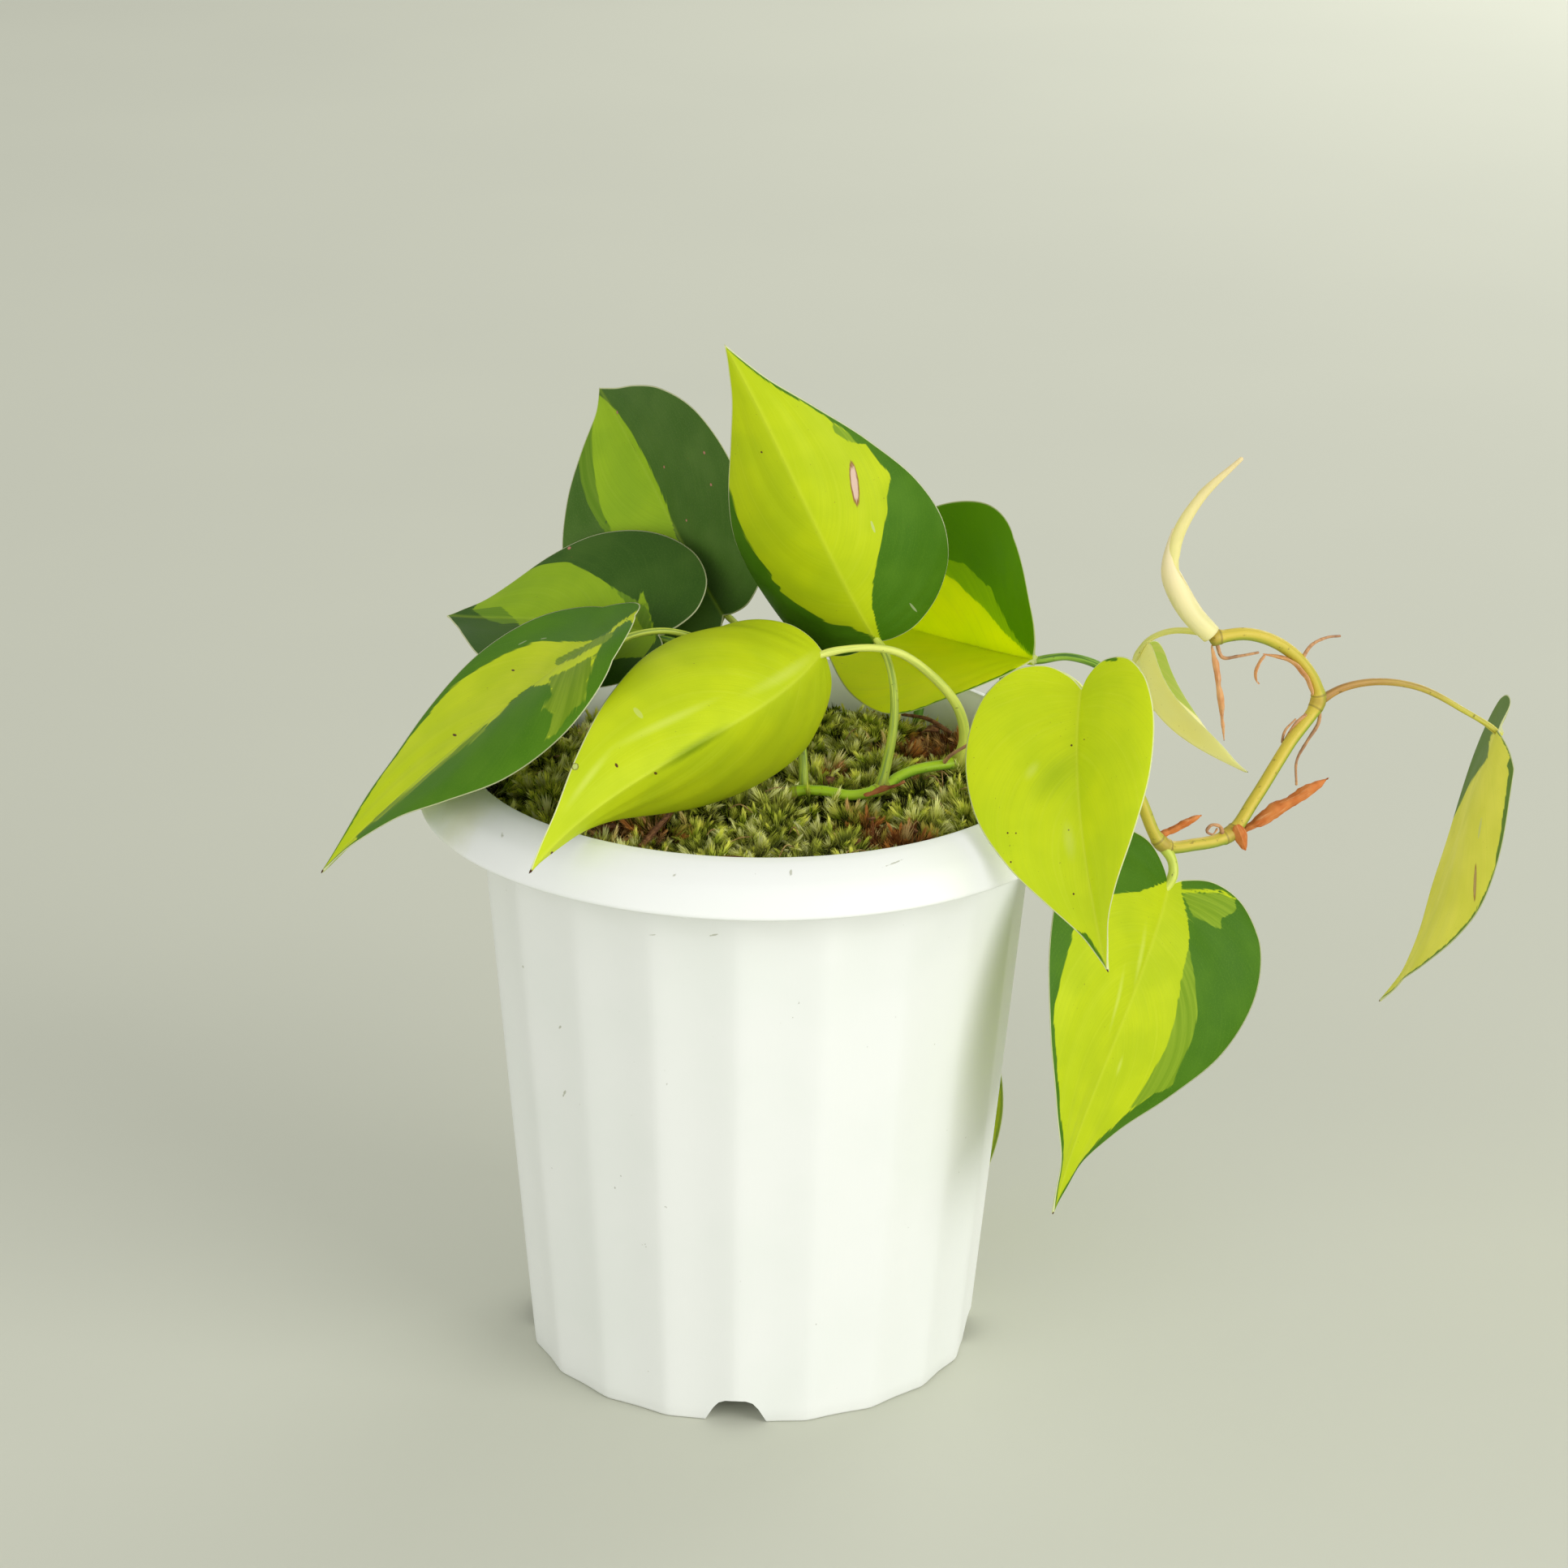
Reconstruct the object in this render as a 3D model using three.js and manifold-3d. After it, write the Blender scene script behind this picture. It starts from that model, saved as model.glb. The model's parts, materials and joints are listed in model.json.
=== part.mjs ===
// A heart-leaf philodendron with lime and green leaves, trailing from a fluted nursery pot.
// Millimetres and degrees, +Z up; the pot's axis is the Z axis and its foot stands on z = 0.
import * as THREE from 'three';
import { mergeVertices } from 'three/addons/utils/BufferGeometryUtils.js';
import Module from 'manifold-3d';

const wasm = await Module();
wasm.setup();

// Driving dimensions
const seatGap = 0.3;
const bladeThickness = 0.7;
const pot = {
  height: 141.3,
  footRadius: 50.7,
  bodyTopRadius: 62.4,
  bodyTop: 131,
  collarRadius: 75,
  wall: 1.5,
  floor: 2.5,
};
const flute = { count: 20, depth: 1.0, phase: -3.1, fadeFrom: 120, fadeTo: 127.5 };
const notch = { count: 4, phase: -3.1, width: 14, height: 6, reach: 20, roof: 2, drainRadius: 4, drainAt: 27 };
const recess = { inner: 15, outer: 43, depth: 1.2 };
const soilTop = 127.6;
const moss = { radius: 60.3, bottom: 128, edge: 132.6, crown: 135.4 };

const rad = THREE.MathUtils.degToRad;
const vec = ([x, y, z]) => new THREE.Vector3(x, y, z);

// Joining and cutting
function toSolid(geometry) {
  const bare = geometry.clone();
  bare.deleteAttribute('normal');
  bare.deleteAttribute('uv');
  const merged = mergeVertices(bare, 1e-4);
  const index = merged.index.array;
  const kept = [];
  for (let i = 0; i < index.length; i += 3) {
    const [a, b, c] = index.slice(i, i + 3);
    if (a !== b && b !== c && c !== a) kept.push(a, b, c);
  }
  return new wasm.Manifold(new wasm.Mesh({
    numProp: 3,
    vertProperties: new Float32Array(merged.attributes.position.array),
    triVerts: new Uint32Array(kept),
  }));
}

function toGeometry(solid) {
  const mesh = solid.getMesh();
  const geometry = new THREE.BufferGeometry();
  geometry.setAttribute('position', new THREE.BufferAttribute(new Float32Array(mesh.vertProperties), 3));
  geometry.setIndex(new THREE.BufferAttribute(new Uint32Array(mesh.triVerts), 1));
  geometry.computeVertexNormals();
  return geometry;
}

const plant = new THREE.Group();

function piece(name, solid, color, roughness) {
  const material = new THREE.MeshStandardMaterial({ color, roughness, metalness: 0 });
  const mesh = new THREE.Mesh(toGeometry(solid), material);
  mesh.name = name;
  plant.add(mesh);
}

// Pot
function turned(profile, segments) {
  const points = profile.map(([r, z]) => new THREE.Vector2(r, z));
  return new THREE.LatheGeometry(points, segments).rotateX(Math.PI / 2);
}

function bodyRadius(z) {
  return THREE.MathUtils.lerp(pot.footRadius, pot.bodyTopRadius, z / pot.bodyTop);
}

function fluteDepth(x, y, z) {
  const around = Math.atan2(x, -y) - rad(flute.phase);
  const fade = 1 - THREE.MathUtils.smoothstep(z, flute.fadeFrom, flute.fadeTo);
  return flute.depth * fade * Math.abs(Math.sin((around * flute.count) / 2));
}

function flutedShell() {
  const { footRadius, bodyTopRadius, bodyTop, collarRadius: rim, height } = pot;
  const wallRows = [flute.fadeFrom, 122.5, 125, flute.fadeTo].map((z) => [bodyRadius(z), z]);
  const collar = [
    [bodyTopRadius, bodyTop],
    [bodyTopRadius + 0.6, height - 3.3],
    [rim - 7, height - 3.7],
    [rim - 2.8, height - 7.4],
    [rim - 1.9, height - 10.2],
    [rim - 0.6, height - 10.3],
    [rim, height - 9.1],
    [rim - 2.8, height - 4.6],
    [rim - 5.6, height - 2.2],
    [rim - 8.4, height - 0.6],
    [rim - 10.3, height],
  ];
  const profile = [[0, 0], [footRadius, 0], ...wallRows, ...collar, [0, height]];
  const geometry = turned(profile, flute.count * 5).rotateZ(rad(flute.phase - 90));
  const position = geometry.attributes.position;
  for (let i = 0; i < position.count; i += 1) {
    const [x, y, z] = [position.getX(i), position.getY(i), position.getZ(i)];
    const radius = Math.hypot(x, y);
    if (radius > footRadius - 2 && z <= flute.fadeTo) {
      const scale = (radius - fluteDepth(x, y, z)) / radius;
      position.setXY(i, x * scale, y * scale);
    }
  }
  return toSolid(geometry);
}

function cavity(clearance) {
  const inside = (z) => bodyRadius(z) - flute.depth - pot.wall + 0.1 - clearance;
  const bottom = pot.floor + clearance;
  const profile = [
    [0, bottom],
    [inside(bottom), bottom],
    [inside(120), 120],
    [pot.bodyTopRadius - pot.wall - clearance, pot.bodyTop],
    [pot.bodyTopRadius - 0.6 - clearance, pot.height - 4],
    [pot.bodyTopRadius + 1.2 - clearance, pot.height - 0.9],
    [pot.bodyTopRadius + 2.2 - clearance, pot.height + 1],
    [0, pot.height + 1],
  ];
  return toSolid(turned(profile, 44));
}

function drainChannel(widen, height) {
  const half = notch.width / 2 + widen;
  const shape = new THREE.Shape();
  shape.moveTo(-half, -1);
  shape.lineTo(-half, height - 3.5);
  shape.quadraticCurveTo(-half, height, -half + 3.5, height);
  shape.lineTo(half - 3.5, height);
  shape.quadraticCurveTo(half, height, half, height - 3.5);
  shape.lineTo(half, -1);
  const length = pot.footRadius - notch.reach + 6;
  const bar = new THREE.ExtrudeGeometry(shape, { depth: length, bevelEnabled: false, curveSegments: 3 });
  return bar.rotateX(Math.PI / 2).translate(0, -notch.reach + widen, 0);
}

function aroundFoot(geometry) {
  const copies = [];
  for (let i = 0; i < notch.count; i += 1) {
    copies.push(toSolid(geometry.clone().rotateZ(rad(notch.phase) + (i * 2 * Math.PI) / notch.count)));
  }
  return copies.reduce((all, next) => all.add(next));
}

const channels = aroundFoot(drainChannel(0, notch.height));
const channelRoofs = aroundFoot(drainChannel(notch.roof, notch.height + notch.roof));
const channelRoofsClear = aroundFoot(drainChannel(notch.roof + seatGap, notch.height + notch.roof + seatGap));

function potSolid() {
  const drain = new THREE.CylinderGeometry(notch.drainRadius, notch.drainRadius, 20, 16);
  const drains = aroundFoot(drain.rotateX(Math.PI / 2).translate(0, -notch.drainAt, 5));
  const { inner, outer, depth } = recess;
  const ring = [[inner, -1], [outer, -1], [outer - depth, depth], [inner + depth, depth], [inner, -1]];
  return flutedShell()
    .subtract(cavity(0).subtract(channelRoofs))
    .subtract(channels)
    .subtract(drains)
    .subtract(toSolid(turned(ring, 48)));
}

// Soil and moss
function soilSolid() {
  const { radius } = moss;
  const aboveSoil = toSolid(turned([[0, soilTop], [radius + 9, soilTop], [radius + 9, 160], [0, 160]], 24));
  return cavity(seatGap).subtract(aboveSoil).subtract(channelRoofsClear);
}

function mossHeight(x, y) {
  const out = Math.hypot(x, y) / moss.radius;
  const dome = moss.edge + (moss.crown - moss.edge) * (1 - out ** 3);
  const cushions = Math.sin(0.31 * x + 0.4) * Math.cos(0.27 * y - 0.5) + 0.7 * Math.sin(0.52 * x - 0.44 * y);
  const tufts = Math.sin(1.05 * x + 0.6 * y) * Math.sin(0.83 * y - 0.4 * x + 1.1);
  return dome + 0.75 * cushions + 0.5 * tufts;
}

function mossSolid() {
  const rings = 10;
  const spokes = 44;
  const { radius, bottom } = moss;
  const profile = [[0, bottom], [radius - 0.8, bottom]];
  for (let i = 0; i <= rings; i += 1) profile.push([radius * (1 - i / rings), moss.edge]);
  const geometry = turned(profile, spokes);
  const position = geometry.attributes.position;
  for (let i = 0; i < position.count; i += 1) {
    if (position.getZ(i) > bottom + 1) {
      position.setZ(i, mossHeight(position.getX(i), position.getY(i)));
    }
  }
  return toSolid(geometry);
}

// Stems, leaf stalks and roots: a round bar along a curve, its radius a function of the way along
function bar(points, radiusAt, steps, sides = 6) {
  const curve = new THREE.CatmullRomCurve3(points.map(vec));
  const section = new THREE.Shape().absarc(0, 0, 1, 0, 2 * Math.PI);
  const geometry = new THREE.ExtrudeGeometry(section, {
    steps,
    extrudePath: curve,
    bevelEnabled: false,
    curveSegments: sides / 2,
  });
  const centres = curve.getSpacedPoints(steps);
  const position = geometry.attributes.position;
  const point = new THREE.Vector3();
  for (let i = 0; i < position.count; i += 1) {
    point.fromBufferAttribute(position, i);
    const distances = centres.map((centre) => centre.distanceToSquared(point));
    const nearest = distances.indexOf(Math.min(...distances));
    const centre = centres[nearest];
    point.sub(centre).multiplyScalar(radiusAt(nearest / steps, centre)).add(centre);
    position.setXYZ(i, point.x, point.y, point.z);
  }
  return toSolid(geometry);
}

const taper = (start, end) => (along) => THREE.MathUtils.lerp(start, end, along);

const node = {
  rooted: [7.7, -13.6, 136.5],
  topLeaf: [27.2, -14, 138],
  frontLeaf: [45, 2, 138.8],
  frontRightLeaf: [50, 4, 140.4],
  backRightLeaf: [72, 2, 149.2],
  hanging: [90.5, -6, 122.8],
  bend: [106.3, 4, 121.5],
  farRight: [126.6, 22, 147],
  tip: [101.4, 15, 164.2],
};
const stem = {
  rootedRadius: 1.3,
  vineRadius: 1.75,
  swelling: 0.35,
  path: [
    [0, -10, 120],
    [3, -12.5, 130],
    node.rooted,
    [14, -15.5, 138],
    [21, -17.5, 137.8],
    node.topLeaf,
    [31.3, -9, 139],
    [35.6, -4, 139],
    node.frontLeaf,
    node.frontRightLeaf,
    [62, 4, 146.5],
    node.backRightLeaf,
    [79, -2, 146.5],
    [85.2, -6, 133.4],
    node.hanging,
    [98, -1.5, 121],
    node.bend,
    [112, 9, 128],
    [120, 16.5, 138.8],
    node.farRight,
    [125.8, 22, 151.1],
    [121.6, 21, 157.4],
    [115.5, 19, 162.3],
    [109, 17, 164.6],
    node.tip,
  ],
};

function stemRadius(along, centre) {
  const plain = THREE.MathUtils.lerp(stem.rootedRadius, stem.vineRadius, THREE.MathUtils.smoothstep(along, 0.2, 0.7));
  const reach = Math.min(...Object.values(node).map((at) => vec(at).distanceTo(centre)));
  return plain + stem.swelling * Math.exp(-((reach / 2) ** 2));
}

// The stem with its round growing end
function stemWith(clearance) {
  const end = vec(node.tip);
  const ball = new THREE.SphereGeometry(stemRadius(1, end) + clearance, 10, 8).translate(...node.tip);
  return bar(stem.path, (along, centre) => stemRadius(along, centre) + clearance, 72).add(toSolid(ball));
}

const stemSolid = stemWith(0);
const stemClear = stemWith(seatGap);

// Leaf blades
// Half an outline: x along the midrib from the notch (0) to the tip (1), y out to the widest point (1)
const heartOutline = new THREE.SplineCurve([
  [0, 0], [-0.055, 0.13], [-0.1, 0.36], [-0.075, 0.64], [0.04, 0.88], [0.22, 1],
  [0.42, 0.93], [0.6, 0.69], [0.75, 0.4], [0.86, 0.185], [0.94, 0.07], [1, 0],
].map(([x, y]) => new THREE.Vector2(x, y)));
const lanceOutline = new THREE.SplineCurve([
  [0, 0], [0.03, 0.5], [0.2, 0.85], [0.45, 1], [0.7, 0.75], [0.88, 0.35], [1, 0],
].map(([x, y]) => new THREE.Vector2(x, y)));

// The midrib: a gently arched and swayed curve from notch to tip, with its own frame
function midrib(leaf) {
  const base = vec(leaf.base);
  const chord = vec(leaf.tip).sub(base);
  const length = chord.length();
  const ahead = chord.clone().normalize();
  const face = vec(leaf.facing);
  face.addScaledVector(ahead, -face.dot(ahead)).normalize();
  const right = new THREE.Vector3().crossVectors(ahead, face);
  const handle = (share, arch, sway) => base.clone().addScaledVector(chord, share)
    .addScaledVector(face, arch * length).addScaledVector(right, sway * length);
  const curve = new THREE.CubicBezierCurve3(
    base,
    handle(0.33, leaf.arch[0], leaf.sway[0]),
    handle(0.7, leaf.arch[1], leaf.sway[1]),
    vec(leaf.tip),
  );
  const ribLength = curve.getLength();
  const frameAt = (distance) => {
    const along = THREE.MathUtils.clamp(distance / ribLength, 0, 1);
    const tangent = curve.getTangentAt(along);
    const centre = curve.getPointAt(along).addScaledVector(tangent, Math.min(distance, 0));
    const up = face.clone().addScaledVector(tangent, -face.dot(tangent)).normalize();
    const side = new THREE.Vector3().crossVectors(tangent, up);
    const turn = rad(leaf.twist) * along;
    const twistedUp = up.clone().multiplyScalar(Math.cos(turn)).addScaledVector(side, Math.sin(turn));
    const twistedSide = side.multiplyScalar(Math.cos(turn)).addScaledVector(up, -Math.sin(turn));
    return { centre, up: twistedUp, side: twistedSide };
  };
  return { frameAt, ribLength };
}

// A point of the blade: across = -1 at the left margin, 0 on the midrib, 1 at the right margin
function bladePoint(leaf, rib, row, across) {
  const side = across < 0 ? 0 : 1;
  const sign = across < 0 ? -1 : 1;
  const out = Math.abs(across);
  const edge = (leaf.outline ?? heartOutline).getPoint(row);
  const edgeX = edge.x < 0 ? edge.x * leaf.lobe[side] : edge.x ** leaf.belly;
  const x = rib.ribLength * (row ** 1.5 * (1 - out) + edgeX * out);
  const y = edge.y * leaf.halfWidth[side] * out;
  const bend = rad(leaf.curl[side] || 0.5) / leaf.halfWidth[side];
  const fold = rad(leaf.fold[side]);
  const sideways = (Math.sin(fold + bend * y) - Math.sin(fold)) / bend;
  const upwards = (Math.cos(fold) - Math.cos(fold + bend * y)) / bend;
  const { centre, up, side: lateral } = rib.frameAt(x);
  return centre.addScaledVector(lateral, sign * sideways).addScaledVector(up, upwards);
}

function bladeSolid(leaf, rows = 14, columns = 3, thickness = bladeThickness) {
  const rib = midrib(leaf);
  const width = 2 * columns + 1;
  const grid = [];
  for (let i = 0; i <= rows; i += 1) {
    for (let j = -columns; j <= columns; j += 1) {
      grid.push(bladePoint(leaf, rib, i / rows, j / columns));
    }
  }
  const at = (i, j) => grid[i * width + j];
  const normalAt = (i, j) => {
    if (i === 0) return rib.frameAt(0).up;
    if (i === rows) return rib.frameAt(rib.ribLength).up;
    const along = at(i + 1, j).clone().sub(at(i - 1, j));
    const over = at(i, Math.min(j + 1, width - 1)).clone().sub(at(i, Math.max(j - 1, 0)));
    return over.cross(along).normalize();
  };
  const positions = [];
  for (const half of [thickness / 2, -thickness / 2]) {
    for (let i = 0; i <= rows; i += 1) {
      for (let j = 0; j < width; j += 1) {
        positions.push(...at(i, j).clone().addScaledVector(normalAt(i, j), half).toArray());
      }
    }
  }
  const under = (rows + 1) * width;
  const index = [];
  for (let i = 0; i < rows; i += 1) {
    for (let j = 0; j < width - 1; j += 1) {
      const a = i * width + j;
      const b = a + 1;
      const c = a + width;
      const d = c + 1;
      index.push(a, b, d, a, d, c);
      index.push(under + a, under + d, under + b, under + a, under + c, under + d);
    }
    for (const [near, far] of [[i * width, (i + 1) * width], [(i + 2) * width - 1, (i + 1) * width - 1]]) {
      index.push(near, far, under + far, near, under + far, under + near);
    }
  }
  const geometry = new THREE.BufferGeometry();
  geometry.setAttribute('position', new THREE.Float32BufferAttribute(positions, 3));
  geometry.setIndex(index);
  return toSolid(geometry);
}

// A leaf: its blade, and its stalk running on under the blade as the raised midrib
function stalkSolid(leaf, clearance = 0) {
  const rib = midrib(leaf);
  const ridge = [0.02, 0.08, 0.15, 0.23, 0.32].map((share) => {
    const { centre, up } = rib.frameAt(share * rib.ribLength);
    return centre.addScaledVector(up, -0.75 + share).toArray();
  });
  const radiusAt = (along) => THREE.MathUtils.lerp(leaf.stalkRadius, 0.5, along) + clearance;
  return bar([...leaf.stalk, ...ridge], radiusAt, leaf.stalkSteps ?? 14);
}

function leafSolid(leaf) {
  return bladeSolid(leaf).add(stalkSolid(leaf));
}

const lime = '#b4cf2a';
const variegated = '#4f8a33';
const leaves = {
  leaf_front: {
    base: [14, -13, 169.5], tip: [-47, -69.5, 139], facing: [0.68, -1, 0.5],
    halfWidth: [31, 30], fold: [-29, -22], curl: [-33, -68],
    arch: [0.19, 0.04], sway: [-0.03, 0.1], belly: 1.07, lobe: [0.6, 0.4], twist: -27,
    stalk: [[45, 2, 138.8], [46, 0, 145.5], [44, -3.5, 154], [38, -6, 162], [30, -9.5, 168.5], [21, -11.5, 169.8]],
    stalkRadius: 1.3, color: lime,
  },
  leaf_front_left: {
    base: [-32, -13, 171.5], tip: [-95.5, -21, 119], facing: [-0.86, 0.27, 1],
    halfWidth: [35, 34.5], fold: [22, 6], curl: [-68, 16],
    arch: [0.04, 0.04], sway: [-0.02, 0.04], belly: 1.14, lobe: [1, 1], twist: -27,
    stalk: [[2, 3, 126], [0, 2, 140], [-3, 0, 155], [-9, -3, 166], [-19, -7, 171.5], [-27, -11, 172]],
    stalkRadius: 1.2, color: variegated,
  },
  leaf_left: {
    base: [-22.2, 11, 164.4], tip: [-72.4, 50.6, 154.7], facing: [-0.47, -0.47, 1],
    halfWidth: [24.5, 25], fold: [19, 15], curl: [-14, -5],
    arch: [0.07, 0.05], sway: [0.01, -0.05], belly: 1.03, lobe: [0.9, 1], twist: 7,
    stalk: [[-3, 12, 126], [-3.5, 11, 140], [-6, 10, 153], [-12, 9.5, 161]],
    stalkRadius: 1.2, color: variegated,
  },
  leaf_back_left: {
    base: [-8, 23.5, 165], tip: [-38, 73, 203.5], facing: [-0.82, -1, 0.64],
    halfWidth: [30, 29.5], fold: [16, 27], curl: [-18, 3],
    arch: [0.06, 0.08], sway: [0.01, 0.06], belly: 0.77, lobe: [1, 0.5], twist: -2,
    stalk: [[11, -10, 126], [10.5, -9.5, 137], [9.5, -5, 147], [5, 5, 156], [-1, 15, 162]],
    stalkRadius: 1.2, color: variegated,
  },
  leaf_top: {
    base: [26, -2, 168], tip: [-8, -8, 237], facing: [0.05, -1, -0.06],
    halfWidth: [28.5, 28.5], fold: [-17, -13], curl: [-53, -38],
    arch: [0.17, 0.05], sway: [0, 0.02], belly: 1.09, lobe: [0.5, 0.5], twist: -2,
    stalk: [[27.2, -14, 138], [28.5, -12.5, 143], [30, -10.5, 152], [29.8, -7.5, 160], [28, -4, 166]],
    stalkRadius: 1.2, color: variegated,
  },
  leaf_back_right: {
    base: [61.5, 13.5, 159], tip: [13, 74.5, 150], facing: [-1, -0.67, 0.8],
    halfWidth: [34, 34.5], fold: [58, 47], curl: [-33, -22],
    arch: [-0.06, 0.09], sway: [0, 0], belly: 1.09, lobe: [0.8, 0.7], twist: 7,
    stalk: [[72, 2, 149.2], [76.5, 4.5, 150], [80, 8, 153], [77.5, 11.5, 157.5], [69.5, 13.5, 159.8]],
    stalkRadius: 1.25, color: variegated,
  },
  leaf_front_right: {
    base: [69, -42, 172], tip: [74.5, -75.5, 121], facing: [-1, -0.96, 0.53],
    halfWidth: [23.5, 26], fold: [25, 16], curl: [-36, 4],
    arch: [0.08, 0.06], sway: [0.03, 0], belly: 1.09, lobe: [0.8, 0.9], twist: 1,
    stalk: [[50, 4, 140.4], [50, 1, 147], [53, -7, 156], [59, -20, 166], [65, -33, 172]],
    stalkRadius: 1.3, color: lime,
  },
  leaf_hanging: {
    base: [92, -8.5, 114], tip: [66.5, -47, 51], facing: [0.6, -1, 0.36],
    halfWidth: [31.5, 30], fold: [2, 14], curl: [5, -30],
    arch: [0.11, 0.03], sway: [0.03, 0.06], belly: 1.13, lobe: [0.8, 0.8], twist: -28,
    stalk: [[90.5, -6, 122.8], [92.8, -6.5, 119], [93, -7.5, 116]],
    stalkRadius: 1.2, stalkSteps: 10, color: variegated,
  },
  leaf_far_right: {
    base: [170, 36, 135.5], tip: [146.5, 37, 67], facing: [-1, 0.21, 0.34],
    halfWidth: [29, 28], fold: [5, -3], curl: [-44, 12],
    arch: [0.01, -0.12], sway: [0, -0.02], belly: 0.95, lobe: [1.3, 1], twist: -7,
    stalk: [[126.6, 22, 147], [132.5, 25, 149.3], [140.5, 28, 149.8], [150, 30.5, 147.8], [160, 33.5, 142]],
    stalkRadius: 0.95, stalkSteps: 18, color: variegated,
  },
  leaf_young: {
    base: [86, 26.5, 155], tip: [111, 15.5, 132], facing: [0.95, 0.08, 1],
    halfWidth: [11.5, 11.5], fold: [41, 42], curl: [-15, -24],
    arch: [-0.27, -0.1], sway: [0.01, 0.01], belly: 0.91, lobe: [1, 1], twist: -13,
    stalk: [[102.5, 16, 164.2], [98, 18, 164.6], [92.5, 20, 164], [87.5, 23.5, 160.3]],
    stalkRadius: 0.8, stalkSteps: 12, color: '#d3dc7c',
  },
  leaf_behind_pot: {
    base: [46, 43, 63], tip: [52, 37, 8], facing: [0.6, 0.8, 0.1],
    halfWidth: [17, 17], fold: [-10, -10], curl: [-20, -20],
    arch: [0.08, 0.05], sway: [0, 0], belly: 1, lobe: [0.9, 0.9], twist: 0,
    stalk: [[36, 42, 126], [38, 45, 140], [43, 51, 147], [51, 60, 147.5], [57, 67, 138], [56, 65, 118],
      [51, 56, 95], [46.5, 46, 74]],
    stalkRadius: 1.2, stalkSteps: 24, color: lime,
  },
};

// The growing point: a pale sheath with the next leaf still rolled in it
const rolledLeaf = {
  path: [
    [101, 14, 165.4], [96.6, 14, 170], [93.5, 14, 175], [91.8, 14, 181],
    [92.4, 14, 188], [97, 14, 197], [106, 14, 206.5],
  ],
  radiusAt: (along) => 0.35 + 1.1 * Math.sin(Math.PI * (0.1 + 0.85 * along)) ** 1.2,
};
const shootSheath = {
  path: [[101, 14, 165.4], [96.6, 14, 170], [93.5, 14, 175], [91.8, 14, 181], [92, 14, 186.5]],
  radiusAt: (along) => 0.9 + 1.8 * Math.sin(Math.PI * (0.15 + 0.55 * along)),
};

// Dried sheaths at the nodes: small curled straps
const drySheath = {
  outline: lanceOutline, belly: 1, lobe: [1, 1], twist: 0, sway: [0, 0], arch: [0.15, 0.1],
};
const drySheaths = {
  dry_sheath_hanging: {
    ...drySheath, base: [89.5, -5, 124], tip: [99.5, -1, 128], facing: [0, -0.8, 0.6],
    halfWidth: [1.6, 1.6], fold: [-40, -40], curl: [-30, -30],
  },
  dry_sheath_bend: {
    ...drySheath, base: [107.5, 2, 124.5], tip: [110, 3.2, 118], facing: [0, -1, 0.3],
    halfWidth: [2, 2], fold: [-20, -20], curl: [-20, -20],
  },
  dry_sheath_long: {
    ...drySheath, base: [107.5, 7, 119.6], tip: [129, 12, 132.5], facing: [-0.3, -0.9, 0.3],
    halfWidth: [2.8, 2.8], fold: [-25, -25], curl: [-30, -30],
  },
  dry_sheath_arch: {
    ...drySheath, base: [125, 20.5, 149], tip: [113, 17, 160], facing: [-0.7, -0.2, -0.7],
    halfWidth: [1.5, 1.5], fold: [-20, -20], curl: [-20, -20], arch: [-0.2, -0.2],
  },
  dry_sheath_tip: {
    ...drySheath, base: [101.3, 14.6, 162.8], tip: [105, 14, 140], facing: [0.2, -1, 0],
    halfWidth: [1.1, 1.1], fold: [-20, -20], curl: [-20, -20],
  },
};

// Roots that grow in the air from the nodes
const airRoots = {
  air_root_far_right: [[127, 22.3, 146.5], [124.5, 22, 140], [121.5, 21.5, 136], [121.5, 21, 132], [122.5, 20, 127.5]],
  air_root_arch: [[122, 21, 156.8], [124.5, 22, 160.5], [128, 23, 162], [131, 23.5, 162.2]],
  air_root_tip: [[102.4, 16, 163], [104, 16, 159.3], [107.5, 15.6, 159.8], [112, 16, 160.6]],
  air_root_front: [[41.5, 0, 139], [43, -4, 142.5], [46.5, -8, 146.5], [48.5, -10, 149.5]],
};

// Assembly
const rooted = ['leaf_front_left', 'leaf_left', 'leaf_back_left', 'leaf_behind_pot'];
const holes = [
  { bore: stemClear, path: stem.path },
  ...rooted.map((name) => ({ bore: stalkSolid(leaves[name], seatGap), path: leaves[name].stalk })),
];

function withHoles(solid) {
  return holes.reduce((left, { bore, path }) => {
    const deeper = vec(path[0]).sub(vec(path[1])).setLength(2 * seatGap);
    return left.subtract(bore).subtract(bore.translate(deeper.toArray()));
  }, solid);
}

piece('pot', potSolid(), '#eef0ea', 0.42);
piece('potting_soil', withHoles(soilSolid()), '#3a2a1e', 1);
piece('moss_bed', withHoles(mossSolid()), '#6f7f2c', 1);
piece('main_stem', stemSolid, '#8fa83c', 0.5);

for (const [name, leaf] of Object.entries(leaves)) {
  const solid = leafSolid(leaf);
  piece(name, rooted.includes(name) ? solid : solid.subtract(stemClear), leaf.color, 0.45);
}

const rolled = bar(rolledLeaf.path, rolledLeaf.radiusAt, 16);
const rolledClear = bar(rolledLeaf.path, (along) => rolledLeaf.radiusAt(along) + seatGap, 16);
piece('rolled_leaf', rolled.subtract(stemClear), '#d9dd8a', 0.5);
piece('shoot_sheath', bar(shootSheath.path, shootSheath.radiusAt, 12).subtract(rolledClear).subtract(stemClear),
  '#e3dfb4', 0.5);

for (const [name, sheath] of Object.entries(drySheaths)) {
  piece(name, bladeSolid(sheath, 8, 1, 0.6).subtract(stemClear), '#a5642f', 0.8);
}
for (const [name, path] of Object.entries(airRoots)) {
  piece(name, bar(path, taper(0.5, 0.35), 10).subtract(stemClear), '#8a6748', 0.85);
}

export default plant;
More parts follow.
